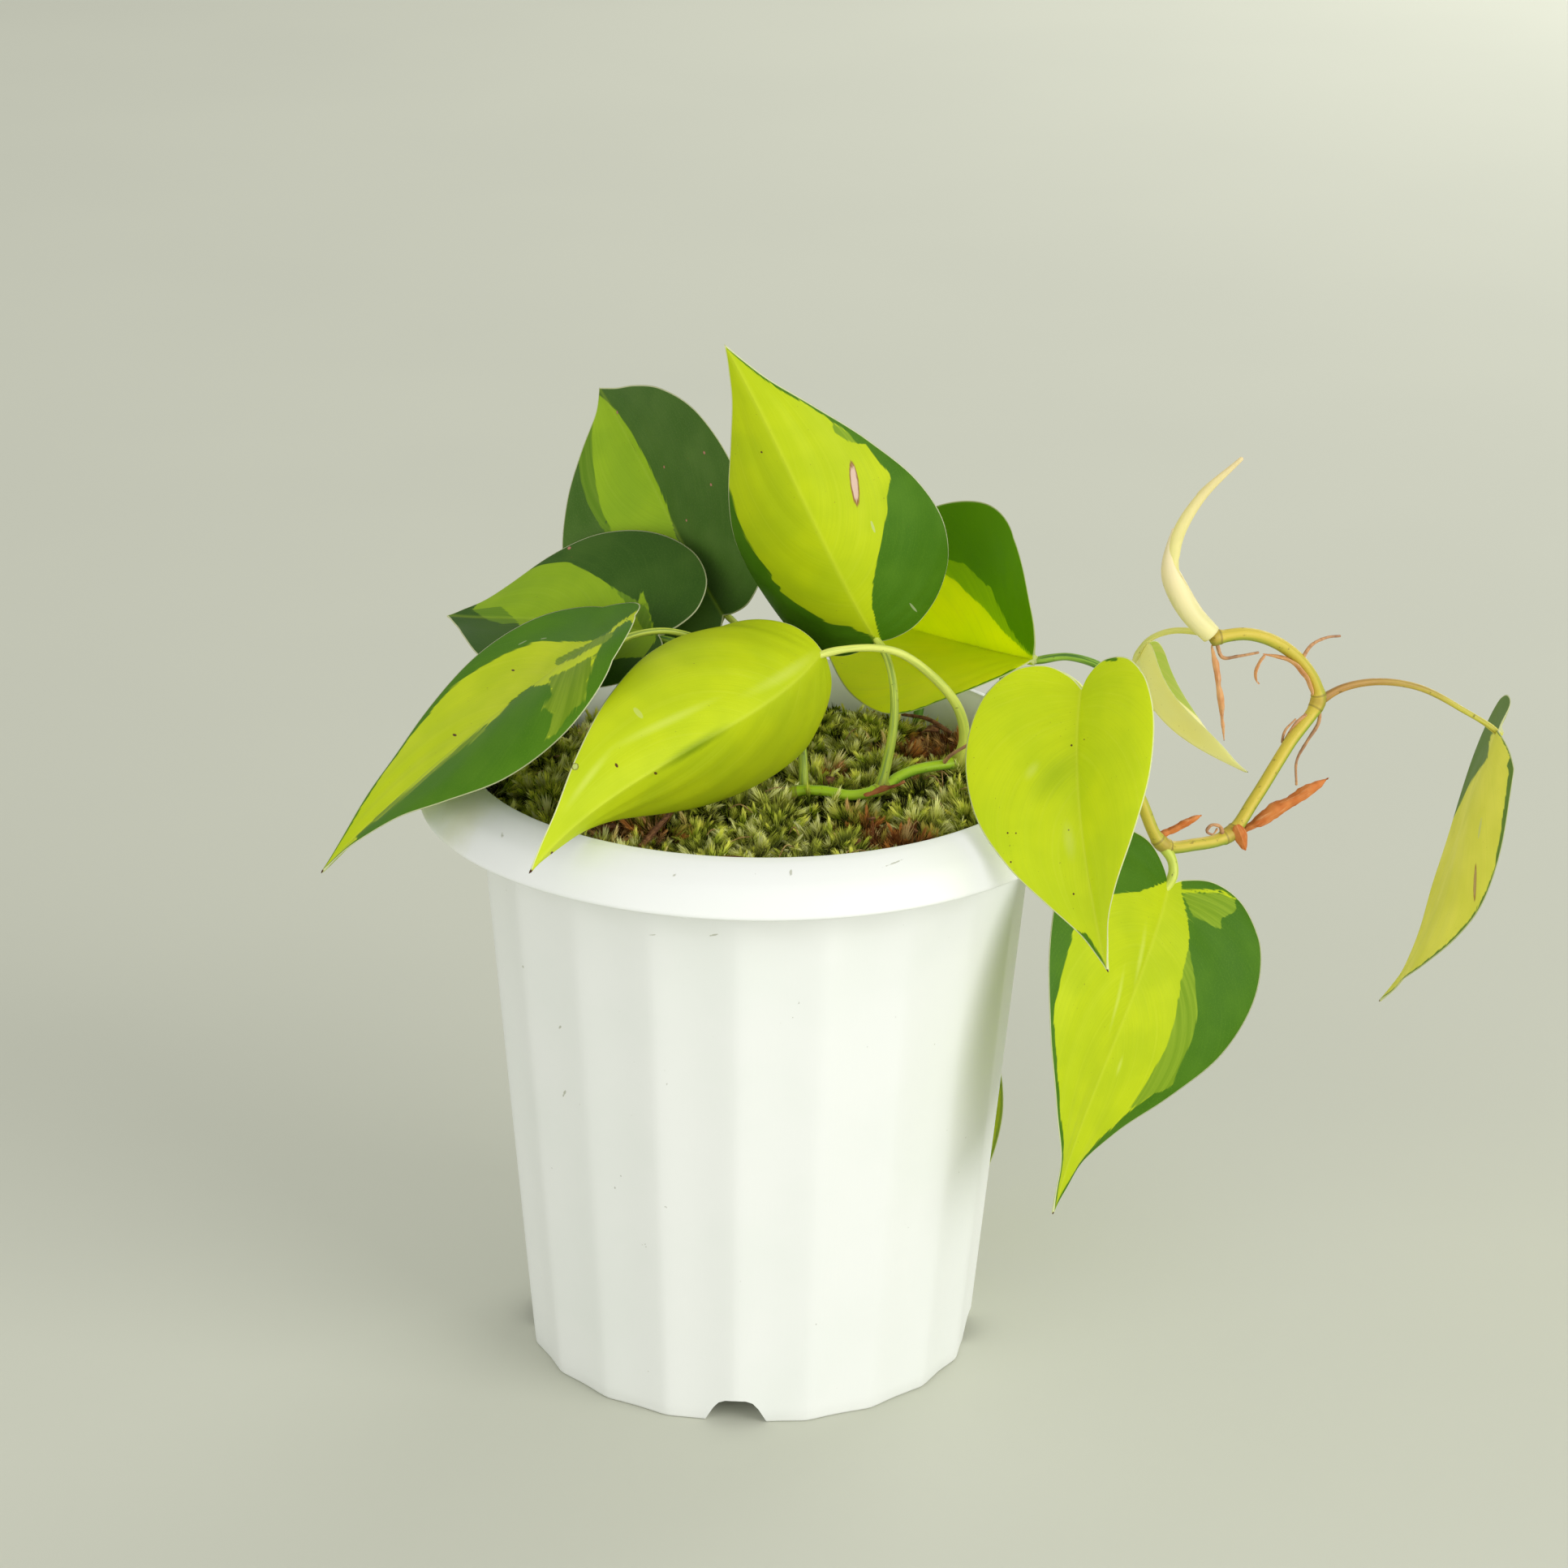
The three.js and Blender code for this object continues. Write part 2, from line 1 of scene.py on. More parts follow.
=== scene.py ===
import json
import math
import bmesh
import bpy
import numpy as np
from mathutils import Matrix

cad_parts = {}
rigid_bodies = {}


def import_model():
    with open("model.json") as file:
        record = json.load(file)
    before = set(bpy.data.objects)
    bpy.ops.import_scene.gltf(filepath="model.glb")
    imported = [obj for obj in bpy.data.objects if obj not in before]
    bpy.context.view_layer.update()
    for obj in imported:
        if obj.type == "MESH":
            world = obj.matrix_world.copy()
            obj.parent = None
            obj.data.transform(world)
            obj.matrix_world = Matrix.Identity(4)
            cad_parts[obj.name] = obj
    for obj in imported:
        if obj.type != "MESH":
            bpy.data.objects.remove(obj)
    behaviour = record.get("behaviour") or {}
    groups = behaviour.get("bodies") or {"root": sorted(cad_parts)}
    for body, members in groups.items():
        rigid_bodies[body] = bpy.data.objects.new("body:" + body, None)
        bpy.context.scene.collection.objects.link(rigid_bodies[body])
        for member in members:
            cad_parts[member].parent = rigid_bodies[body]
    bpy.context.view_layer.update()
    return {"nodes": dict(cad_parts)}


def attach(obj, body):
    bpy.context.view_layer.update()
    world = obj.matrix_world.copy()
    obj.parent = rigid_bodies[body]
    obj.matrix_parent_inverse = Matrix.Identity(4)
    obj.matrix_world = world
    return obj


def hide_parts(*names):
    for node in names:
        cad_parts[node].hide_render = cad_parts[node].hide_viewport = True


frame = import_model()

# A heart-leaf philodendron in a fluted nursery pot. Places and sizes are in millimetres until a mesh is
# made; the pot's axis is the Z axis and its foot stands on z = 0.
mm = 0.001

# View: the camera of the photograph, and where a point falls in its frame of 1932 x 1932
view = {
    "framePixels": 1932,
    "focalPixels": 6000,
    "pitchDown": 20.77,
    "roll": 0.81,
    "place": (6.1, -1015.0, 518.5),
    "sensor": 36.0,
}


def unit(vector):
    return vector / np.linalg.norm(vector, axis=-1, keepdims=True)


def viewAxes():
    pitch, roll = np.radians([view["pitchDown"], view["roll"]])
    ahead = np.array([0, math.cos(pitch), -math.sin(pitch)])
    level = np.array([1.0, 0, 0])
    upright = np.cross(level, ahead)
    right = level * math.cos(roll) + upright * math.sin(roll)
    up = upright * math.cos(roll) - level * math.sin(roll)
    return right, up, ahead


viewRight, viewUp, viewAhead = viewAxes()


def photoPixels(points):
    offset = points - np.array(view["place"])
    depth = offset @ viewAhead
    perDepth = view["focalPixels"] / depth
    half = view["framePixels"] / 2
    pixels = np.stack([half + perDepth * (offset @ viewRight), half - perDepth * (offset @ viewUp)], axis=-1)
    return pixels, perDepth


def makeCamera():
    data = bpy.data.cameras.new("photoCamera")
    data.sensor_width = view["sensor"]
    data.lens = view["focalPixels"] / view["framePixels"] * view["sensor"]
    camera = bpy.data.objects.new("photoCamera", data)
    turn = Matrix((viewRight, viewUp, -viewAhead)).transposed().to_4x4()
    camera.matrix_world = Matrix.Translation([value * mm for value in view["place"]]) @ turn
    bpy.context.scene.collection.objects.link(camera)
    bpy.context.scene.camera = camera


makeCamera()
print("camera placed")


# Small tools: colours, easing, curves
def srgb(red, green, blue):
    shares = [channel / 255 for channel in (red, green, blue)]
    return (*[c / 12.92 if c < 0.04045 else ((c + 0.055) / 1.055) ** 2.4 for c in shares], 1.0)


def smooth(value, low, high):
    share = np.clip((value - low) / (high - low), 0, 1)
    return share * share * (3 - 2 * share)


def lerp(start, end, share):
    return start + (end - start) * share


def outlineCurve(points, shares):
    # a uniform Catmull-Rom curve through the points, at shares 0 to 1 of the way
    padded = np.array([points[0], *points, points[-1]], float)
    place = np.clip(shares, 0, 1) * (len(points) - 1)
    first = np.minimum(place.astype(int), len(points) - 2)
    step = (place - first)[..., None]
    a, b, c, d = (padded[first + i] for i in range(4))
    cubic = (3 * b - a - 3 * c + d) * step + 2 * a - 5 * b + 4 * c - d
    return 0.5 * (2 * b + (c - a) * step + cubic * step ** 2)


def lengthAlong(path):
    return np.r_[0, np.cumsum(np.linalg.norm(np.diff(path, axis=0), axis=1))]


def routeCurve(points, spacing):
    # a centripetal Catmull-Rom curve through the points, cut at even steps of about the spacing
    points = np.array(points, float)
    padded = np.vstack([2 * points[0] - points[1], points, 2 * points[-1] - points[-2]])
    share = np.linspace(0, 1, 40)[:, None]          # fine enough to measure the length by
    stretches = []
    for a, b, c, d in zip(padded, padded[1:], padded[2:], padded[3:]):
        before, here, after = (math.sqrt(np.linalg.norm(q - p)) for p, q in ((a, b), (b, c), (c, d)))
        leave = ((b - a) / before - (c - a) / (before + here) + (c - b) / here) * here
        arrive = ((c - b) / here - (d - b) / (here + after) + (d - c) / after) * here
        bent = 3 * (c - b) - 2 * leave - arrive + (2 * (b - c) + leave + arrive) * share
        stretches.append(b + leave * share + bent * share ** 2)
    fine = np.vstack([s[:-1] for s in stretches[:-1]] + [stretches[-1]])
    travelled = lengthAlong(fine)
    count = max(int(round(travelled[-1] / spacing)), 4)
    places = np.linspace(0, travelled[-1], count + 1)
    return np.stack([np.interp(places, travelled, fine[:, k]) for k in range(3)], axis=1), places


def softNoise(points, size, seed, octaves=2):
    # a smooth, repeatable unevenness of about -1 to 1, from a few crossing waves
    draw = np.random.default_rng(seed)
    waveCount = 7
    total = 0
    for octave in range(octaves):
        waves = draw.normal(size=(waveCount, points.shape[-1])) * (2.2 * 2 ** octave / size)
        shift = draw.uniform(0, 2 * math.pi, waveCount)
        total = total + np.sin(points @ waves.T + shift).sum(-1) / 3.5 / 1.8 ** octave
    return total / 1.4


# Meshes: parts are gathered, then made one piece of the object
class Gather:
    def __init__(self):
        self.parts = []

    def add(self, points, faces, finish=0, **layers):
        self.parts.append((np.asarray(points, float), faces, finish, layers))

    def piece(self, name, finishes, replaced):
        start = 0
        faces = []
        finishOf = []
        for points, partFaces, finish, _ in self.parts:
            faces += [[corner + start for corner in face] for face in partFaces]
            finishOf += [finish] * len(partFaces)
            start += len(points)
        mesh = bpy.data.meshes.new(name)
        mesh.from_pydata(np.vstack([part[0] for part in self.parts]) * mm, [], faces)
        for layerName in sorted({key for part in self.parts for key in part[3]}):
            values = [part[3].get(layerName, np.zeros((len(part[0]), 3))) for part in self.parts]
            layer = mesh.attributes.new(layerName, "FLOAT_VECTOR", "POINT")
            layer.data.foreach_set("vector", np.vstack(values).astype(np.float32).ravel())
        for finish in finishes:
            mesh.materials.append(finish)
        mesh.polygons.foreach_set("material_index", finishOf)
        mesh.polygons.foreach_set("use_smooth", [True] * len(faces))
        mesh.update()
        return standIn(name, mesh, replaced)


def onePiece(name, points, faces, finish, slot, replaced=(), **layers):
    whole = Gather()
    whole.add(points, faces, **layers)
    return whole.piece(name, [finish], replaced)


def standIn(name, mesh, replaced):
    made = bpy.data.objects.new(name, mesh)
    bpy.context.scene.collection.objects.link(made)
    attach(made, "root")
    if replaced:
        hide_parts(*replaced)
    return made


def ringQuads(rings, sides):
    here = np.arange(sides)
    there = (here + 1) % sides
    faces = []
    for near in range(0, (rings - 1) * sides, sides):
        far = near + sides
        faces += np.stack([near + here, near + there, far + there, far + here], axis=1).tolist()
    return faces


def closedRings(rings, sides):
    # the ends are fans to the two points that come after the last ring
    last = (rings - 1) * sides
    start, end = last + sides, last + sides + 1
    pairs = [(k, (k + 1) % sides) for k in range(sides)]
    fans = [[start, b, a] for a, b in pairs] + [[end, last + a, last + b] for a, b in pairs]
    return ringQuads(rings, sides) + fans


def gridQuads(grid, flip):
    a, b, c, d = grid[:-1, :-1], grid[:-1, 1:], grid[1:, 1:], grid[1:, :-1]
    order = (a, d, c, b) if flip else (a, b, c, d)
    return np.stack([corner.ravel() for corner in order], axis=1).tolist()


tubeEnds = (0.4, 0.6)          # how far a tube's start and end bulge, as shares of the radius there


def tube(path, radii, sides):
    # a round bar; the layer "run" holds millimetres along it, the turn round it and its share along
    tangents = unit(np.gradient(path, axis=0))
    normal = np.cross(tangents[0], (0, 0, 1))
    if np.linalg.norm(normal) < 0.1:
        normal = np.cross(tangents[0], (1, 0, 0))
    normal = unit(normal)
    frames = []
    for tangent in tangents:
        normal = unit(normal - tangent * (normal @ tangent))
        frames.append((normal, np.cross(tangent, normal)))
    frames = np.array(frames)
    turn = np.arange(sides) * 2 * math.pi / sides
    radii = np.asarray(radii, float)
    if radii.ndim == 1:
        radii = np.repeat(radii[:, None], sides, axis=1)
    ring = frames[:, 0, None] * np.cos(turn)[None, :, None] + frames[:, 1, None] * np.sin(turn)[None, :, None]
    points = path[:, None] + ring * radii[..., None]
    ends = [path[0] - tangents[0] * radii[0].mean() * tubeEnds[0],
            path[-1] + tangents[-1] * radii[-1].mean() * tubeEnds[1]]
    travelled = lengthAlong(path)
    run = np.zeros((len(path), sides, 3))
    run[..., 0] = travelled[:, None]
    run[..., 1] = turn[None]
    run[..., 2] = (travelled / travelled[-1])[:, None]
    run = np.vstack([run.reshape(-1, 3), [run[0, 0], run[-1, 0]]])
    return np.vstack([points.reshape(-1, 3), ends]), closedRings(len(path), sides), run


# Node trees are wired step by step; a step takes plain values or the sockets of earlier steps
class Wiring:
    def __init__(self, tree):
        self.tree = tree

    def node(self, kind, inputs, family="ShaderNode", **settings):
        made = self.tree.nodes.new(family + kind)
        for key, value in settings.items():
            setattr(made, key, value)
        for key, value in inputs.items():
            if isinstance(value, bpy.types.NodeSocket):
                self.tree.links.new(value, made.inputs[key])
            else:
                made.inputs[key].default_value = value
        return made

    def calc(self, operation, first, second=0.0):
        return self.node("Math", {0: first, 1: second}, operation=operation).outputs[0]

    def vector(self, operation, first, second=(0, 0, 0)):
        made = self.node("VectorMath", {0: first, 1: second}, operation=operation)
        return made.outputs["Value" if operation in ("LENGTH", "DISTANCE") else "Vector"]

    def split(self, vector):
        return self.node("SeparateXYZ", {0: vector}).outputs


# Finishes: a plain colour is red, green and blue of 0 to 255
class Finish(Wiring):
    def __init__(self, name):
        self.material = bpy.data.materials.new(name)
        self.material.use_nodes = True
        self.material.node_tree.nodes.clear()
        super().__init__(self.material.node_tree)

    def layer(self, name):
        return self.node("Attribute", {}, attribute_name=name).outputs["Vector"]

    def place(self):
        return self.node("TexCoord", {}).outputs["Object"]

    def aroundBar(self, stretch):
        # a tube's own coordinates, which close round it, and the share of the way along it
        along, around, share = self.split(self.layer("run"))
        parts = {0: self.calc("MULTIPLY", along, stretch), 1: self.calc("COSINE", around),
                 2: self.calc("SINE", around)}
        return self.node("CombineXYZ", parts).outputs[0], share

    def spot(self, vector, centre, turn, reach):
        # a long spot's own coordinates, and the distance from its middle, which is 1 at its rim
        inputs = {"Vector": vector, "Location": centre, "Rotation": turn, "Scale": reach}
        local = self.node("Mapping", inputs, vector_type="TEXTURE").outputs[0]
        return local, self.vector("LENGTH", local)

    def noise(self, vector, scale, detail=2.0, roughness=0.5, stretch=None):
        if stretch:
            vector = self.vector("MULTIPLY", vector, stretch)
        inputs = {"Vector": vector, "Scale": scale, "Detail": detail, "Roughness": roughness}
        return self.node("TexNoise", inputs).outputs["Fac"]

    def ease(self, value, low, high, start=0.0, end=1.0):
        inputs = {"Value": value, "From Min": low, "From Max": high, "To Min": start, "To Max": end}
        return self.node("MapRange", inputs, interpolation_type="SMOOTHSTEP").outputs["Result"]

    def mix(self, share, first, second, blend="MIX"):
        first, second = (srgb(*c) if isinstance(c, tuple) else c for c in (first, second))
        inputs = {0: share, 6: first, 7: second}
        return self.node("Mix", inputs, data_type="RGBA", blend_type=blend).outputs[2]

    def veil(self, colour, tone, field, low, high, strength=1.0):
        # the tone over the colour: none where the field is low, at its full strength where it is high
        return self.mix(self.ease(field, low, high, 0.0, strength), colour, tone)

    def bump(self, height, distance, strength):
        inputs = {"Height": height, "Distance": distance * mm, "Strength": strength}
        return self.node("Bump", inputs).outputs[0]

    def surface(self, colour, normal, roughness, specular, ior=1.4, through=0.0, throughColour=None):
        # through is the share of the light that passes through the piece
        bent = {} if normal is None else {"Normal": normal}
        inputs = {"Base Color": colour, "Roughness": roughness, "Specular IOR Level": specular, "IOR": ior}
        shader = self.node("BsdfPrincipled", {**inputs, **bent}).outputs[0]
        if through:
            glow = self.node("BsdfTranslucent", {"Color": throughColour or colour, **bent}).outputs[0]
            shader = self.node("MixShader", {0: through, 1: shader, 2: glow}).outputs[0]
        self.node("OutputMaterial", {0: shader})
        return self.material


# Pot: fluted below, a rolled collar above, four notches over drain channels in the foot
pot = {
    "height": 141.3,
    "footRadius": 50.7,
    "bodyTopRadius": 62.4,
    "bodyTop": 131.0,
    "collarRadius": 75.0,
    "wall": 1.5,
    "floor": 2.5,
    "footRounding": 0.7,
    "segments": 480,
    "insideSegments": 240,
    "sharpFrom": 35,
    "flutes": {"count": 20, "depth": 1.0, "phase": -3.1, "fadeFrom": 120.0, "fadeTo": 127.5,
               "softness": 0.22},
    "notches": {"count": 4, "width": 14.0, "height": 6.0, "reach": 20.0, "roof": 2.0},
    "drains": {"radius": 4.0, "at": 27.0, "bottom": -5, "top": 15, "segments": 32},
    "flash": {"height": 0.14, "spread": 50, "size": 3.0, "below": 0.9},
    "recess": {"inner": 15.0, "outer": 43.0, "depth": 1.2},
    "mouldNick": {"at": (-13.6, -72.9, 131.4), "size": (1.6, 0.8, 0.6), "sides": 12, "rings": 6, "rise": 1.3},
    "stain": (-63.4, -31.4, 138.0),
    "hairs": [          # place on the front (x, z), slant in degrees, half length, half breadth
        ((-42.0, 91.3), 60, 0.8, 0.25), ((-41.2, 74.8), 72, 1.5, 0.3), ((-8.2, 122.1), 18, 1.3, 0.25),
        ((-50.5, 102.0), 80, 0.6, 0.3), ((-21.5, 120.6), 10, 0.8, 0.2), ((7.8, 139.6), 75, 0.6, 0.35),
        ((-16.6, 138.6), 20, 0.7, 0.25), ((29.5, 139.6), 8, 2.4, 0.14), ((-54.0, 138.2), 30, 0.5, 0.35),
    ],
}


def bodyRadius(z):
    return lerp(pot["footRadius"], pot["bodyTopRadius"], z / pot["bodyTop"])


def fluteDepth(angle, z):
    flutes = pot["flutes"]
    fade = 1 - smooth(z, flutes["fadeFrom"], flutes["fadeTo"])
    scallop = np.abs(np.sin((angle - math.radians(flutes["phase"])) * flutes["count"] / 2))
    soft = flutes["softness"]
    rounded = np.sqrt(scallop ** 2 + soft ** 2) - soft
    # a little uneven where it was trimmed, right at the foot
    flash = pot["flash"]
    around = np.stack([np.sin(angle), np.cos(angle)], axis=-1) * flash["spread"]
    trim = np.clip(flash["height"] * softNoise(around, flash["size"], 2, 3) - 0.05, 0, 1)
    return flutes["depth"] * fade * rounded + trim * (1 - smooth(z, 0.0, flash["below"]))


def turned(profile, segments, shape=None):
    # a closed solid of revolution from a profile that starts and ends on the axis
    profile = np.array(profile, float)
    angle = (np.arange(segments) + 0.5) * 2 * math.pi / segments
    inner = profile[1:-1]
    radius = np.repeat(inner[:, :1], segments, axis=1)
    height = np.repeat(inner[:, 1:], segments, axis=1)
    if shape is not None:
        radius = radius - shape(angle[None], height) * (radius > pot["footRadius"] - 2)
    rings = np.stack([radius * np.sin(angle), -radius * np.cos(angle), height], axis=-1)
    points = np.vstack([rings.reshape(-1, 3), [[0, 0, profile[0, 1]], [0, 0, profile[-1, 1]]]])
    return points, closedRings(len(inner), segments)


def rawObject(name, points, faces):
    mesh = bpy.data.meshes.new(name)
    mesh.from_pydata(np.asarray(points) * mm, [], faces)
    made = bpy.data.objects.new(name, mesh)
    bpy.context.scene.collection.objects.link(made)
    return made


def cut(body, tool):
    change = body.modifiers.new("cut", "BOOLEAN")
    change.object = tool
    change.operation = "DIFFERENCE"
    change.solver = "MANIFOLD"
    result = bpy.data.meshes.new_from_object(body.evaluated_get(bpy.context.evaluated_depsgraph_get()))
    body.modifiers.clear()
    body.data = result
    bpy.data.objects.remove(tool)


def collarProfile():
    # the collar's outside as a rounded line from the body up and over to the mouth
    rim, height, bodyTop = pot["collarRadius"], pot["height"], pot["bodyTopRadius"]
    corners = [
        (bodyTop, pot["bodyTop"]), (bodyTop + 0.6, height - 3.3), (rim - 7, height - 3.7),
        (rim - 2.8, height - 7.4), (rim - 1.9, height - 10.2), (rim - 0.6, height - 10.3),
        (rim, height - 9.1), (rim - 2.8, height - 4.6), (rim - 5.6, height - 2.2),
        (rim - 8.4, height - 0.6), (rim - 10.3, height),
    ]
    return outlineCurve(corners, np.linspace(0, 1, 61))


def barAcross(half, height, start, length):
    # a channel under the foot: a bell-shaped bar pointing outwards along -Y
    arch = [(-1, 0), (-0.87, 0.28), (-0.72, 0.6), (-0.55, 0.85), (-0.33, 0.97), (0, 1)]
    left = [(half * x, height * z) for x, z in arch]
    section = [(-half - 0.4, -1.0), *left, *[(-x, z) for x, z in reversed(left[:-1])], (half + 0.4, -1.0)]
    count = len(section)
    points = [(x, y, z) for y in (start, start - length) for x, z in section]
    return points, ringQuads(2, count) + [list(range(count))[::-1], list(range(count, 2 * count))]


def aroundFoot(name, points, faces):
    # one for each notch, turned round the axis, all in one object
    count = pot["notches"]["count"]
    allPoints = []
    allFaces = []
    for i in range(count):
        turn = math.radians(pot["flutes"]["phase"]) + i * 2 * math.pi / count
        cosine, sine = math.cos(turn), math.sin(turn)
        allPoints.append(np.array(points) @ np.array([[cosine, -sine, 0], [sine, cosine, 0], [0, 0, 1]]).T)
        allFaces += [[corner + i * len(points) for corner in face] for face in faces]
    made = rawObject(name, np.vstack(allPoints), allFaces)
    recalculate(made)
    return made


def recalculate(made):
    loose = bmesh.new()
    loose.from_mesh(made.data)
    bmesh.ops.recalc_face_normals(loose, faces=loose.faces)
    loose.to_mesh(made.data)
    loose.free()


def potFinish():
    f = Finish("satinWhitePlastic")
    place = f.place()
    clouds = f.noise(place, 38.0, 3.0)
    grain = f.noise(place, 900.0, stretch=(1, 1, 0.12))
    specks = f.noise(place, 620.0, 2.0, 0.7)
    colour = f.veil((234, 236, 233), (231, 234, 230), clouds, 0.35, 0.75)
    away = f.vector("DISTANCE", place, [c * mm for c in pot["stain"]])
    wobble = f.calc("ADD", away, f.calc("MULTIPLY", f.noise(place, 160.0, 3.0), 0.012))
    colour = f.veil(colour, (214, 214, 172), wobble, 0.019, 0.006, 0.55)
    colour = f.veil(colour, (150, 148, 132), specks, 0.755, 0.79, 0.6)
    onFront = f.ease(f.split(place)[1], -0.02, -0.03)
    for (x, z), slant, reach, breadth in pot["hairs"]:
        size = (reach * mm, 1000, breadth * mm)
        _, away = f.spot(place, (x * mm, 0, z * mm), (0, -math.radians(slant), 0), size)
        rough = f.calc("ADD", away, f.calc("MULTIPLY", f.calc("SUBTRACT", specks, 0.5), 2.0))
        share = f.calc("MULTIPLY", f.ease(rough, 1.0, 0.4, 0.0, 0.55), onFront)
        colour = f.mix(share, colour, (132, 132, 90))
    foot = f.ease(f.split(place)[2], 0.0, 0.004, 0.25, 0.0)
    colour = f.mix(f.calc("MULTIPLY", foot, clouds), colour, (170, 172, 160))
    normal = f.bump(f.calc("ADD", clouds, f.calc("MULTIPLY", grain, 0.2)), 0.18, 0.35)
    return f.surface(colour, normal, f.ease(clouds, 0.3, 0.8, 0.38, 0.46), 0.45, 1.49)


def makePot():
    foot, rounding, recess = pot["footRadius"], pot["footRounding"], pot["recess"]
    height, fadeFrom, fadeTo = pot["height"], pot["flutes"]["fadeFrom"], pot["flutes"]["fadeTo"]
    corner = [(foot - rounding * (1 - math.sin(t)), rounding * (1 - math.cos(t)))
              for t in np.linspace(0, math.pi / 2, 6)]
    wallRows = np.r_[np.linspace(6, fadeFrom, 5), np.linspace(fadeFrom + 1, fadeTo, 9)]
    ring = [(recess["inner"], 0), (recess["inner"] + recess["depth"], recess["depth"]),
            (recess["outer"] - recess["depth"], recess["depth"]), (recess["outer"], 0)]
    wall = [(bodyRadius(z), z) for z in wallRows]
    profile = [(0, 0), *ring, *corner, *wall, *collarProfile(), (0, height)]
    body = rawObject("pot_outside", *turned(profile, pot["segments"], fluteDepth))
    inset = pot["flutes"]["depth"] + pot["wall"] - 0.1
    inside = [(bodyRadius(z) - inset, z) for z in (pot["floor"], fadeFrom)]
    top = pot["bodyTopRadius"]
    mouth = [
        (top - pot["wall"], pot["bodyTop"]), (top - 0.6, height - 4), (top + 0.1, height - 2.3),
        (top + 1.2, height - 0.9), (top + 1.7, height - 0.35), (top + 2.2, height + 1),
    ]
    inner = turned([(0, pot["floor"]), *inside, *mouth, (0, height + 1)], pot["insideSegments"])
    hollow = rawObject("hollow", *inner)
    notches, drains = pot["notches"], pot["drains"]
    reach = foot - notches["reach"] + 6
    half, roof = notches["width"] / 2, notches["roof"]
    roofs = barAcross(half + roof, notches["height"] + roof, -notches["reach"] + roof, reach)
    cut(hollow, aroundFoot("roofs", *roofs))
    cut(body, hollow)
    channel = barAcross(half, notches["height"], -notches["reach"], reach)
    cut(body, aroundFoot("channels", *channel))
    radius, low, high = drains["radius"], drains["bottom"], drains["top"]
    points, faces = turned([(0, low), (radius, low), (radius, high), (0, high)], drains["segments"])
    cut(body, aroundFoot("drains", points + np.array([0, -drains["at"], 0]), faces))
    mesh = body.data
    bpy.data.objects.remove(body)
    standIn("pot_shell", mesh, ["pot"])
    mesh.materials.clear()
    mesh.materials.append(potFinish())
    mesh.polygons.foreach_set("use_smooth", [True] * len(mesh.polygons))
    mesh.set_sharp_from_angle(angle=math.radians(pot["sharpFrom"]))
    makeMouldNick(mesh.materials[0])


def makeMouldNick(finish):
    # a flat bead of plastic under the collar
    nick = pot["mouldNick"]
    sides, rings = nick["sides"], nick["rings"]
    turns, rises = np.meshgrid(np.arange(sides) * 2 * math.pi / sides,
                               np.linspace(-nick["rise"], nick["rise"], rings))
    ball = np.stack([np.cos(rises) * np.cos(turns), np.cos(rises) * np.sin(turns), np.sin(rises)], axis=-1)
    last = (rings - 1) * sides
    faces = ringQuads(rings, sides) + [list(range(sides))[::-1], list(range(last, last + sides))]
    points = ball.reshape(-1, 3) * nick["size"] + np.array(nick["at"])
    onePiece("pot_mould_nick", points, faces, finish, "pot")


makePot()
print("pot made")


# Blades: half a heart-shaped outline, x from the notch (0) to the tip (1), y out to the widest point (1)
heartOutline = [
    (0, 0), (-0.055, 0.13), (-0.1, 0.36), (-0.075, 0.64), (0.04, 0.88), (0.22, 1),
    (0.42, 0.93), (0.6, 0.69), (0.75, 0.4), (0.86, 0.185), (0.94, 0.07), (1, 0),
]
lanceOutline = [(0, 0), (0.03, 0.5), (0.2, 0.85), (0.45, 1), (0.7, 0.75), (0.88, 0.35), (1, 0)]
blade = {
    "thickness": 0.55,
    "rows": 104,
    "columns": 27,
    "marginColumn": 0.985,
    "ribCrowding": 1.45,
    "groove": 0.16,
    "grooveWidth": 1.3,
    "ridge": 0.9,
    "ridgeWidth": 0.75,
    "sideVeins": (-0.22, -0.1, 0.02, 0.14, 0.27, 0.4, 0.53),
    "veinSweep": 0.36,
    "veinDepth": 0.07,
    "veinWidth": 1.0,
    "quilt": 0.2,
    "quiltReach": 6.0,
    "puffedFrom": (1.0, 6.0),          # the relief sets in over this distance from the rib
    "puffedTo": (0.5, 5.0),            # and over this one from the margin
    "wave": 0.45,
    "waveTurns": 17.0,
}


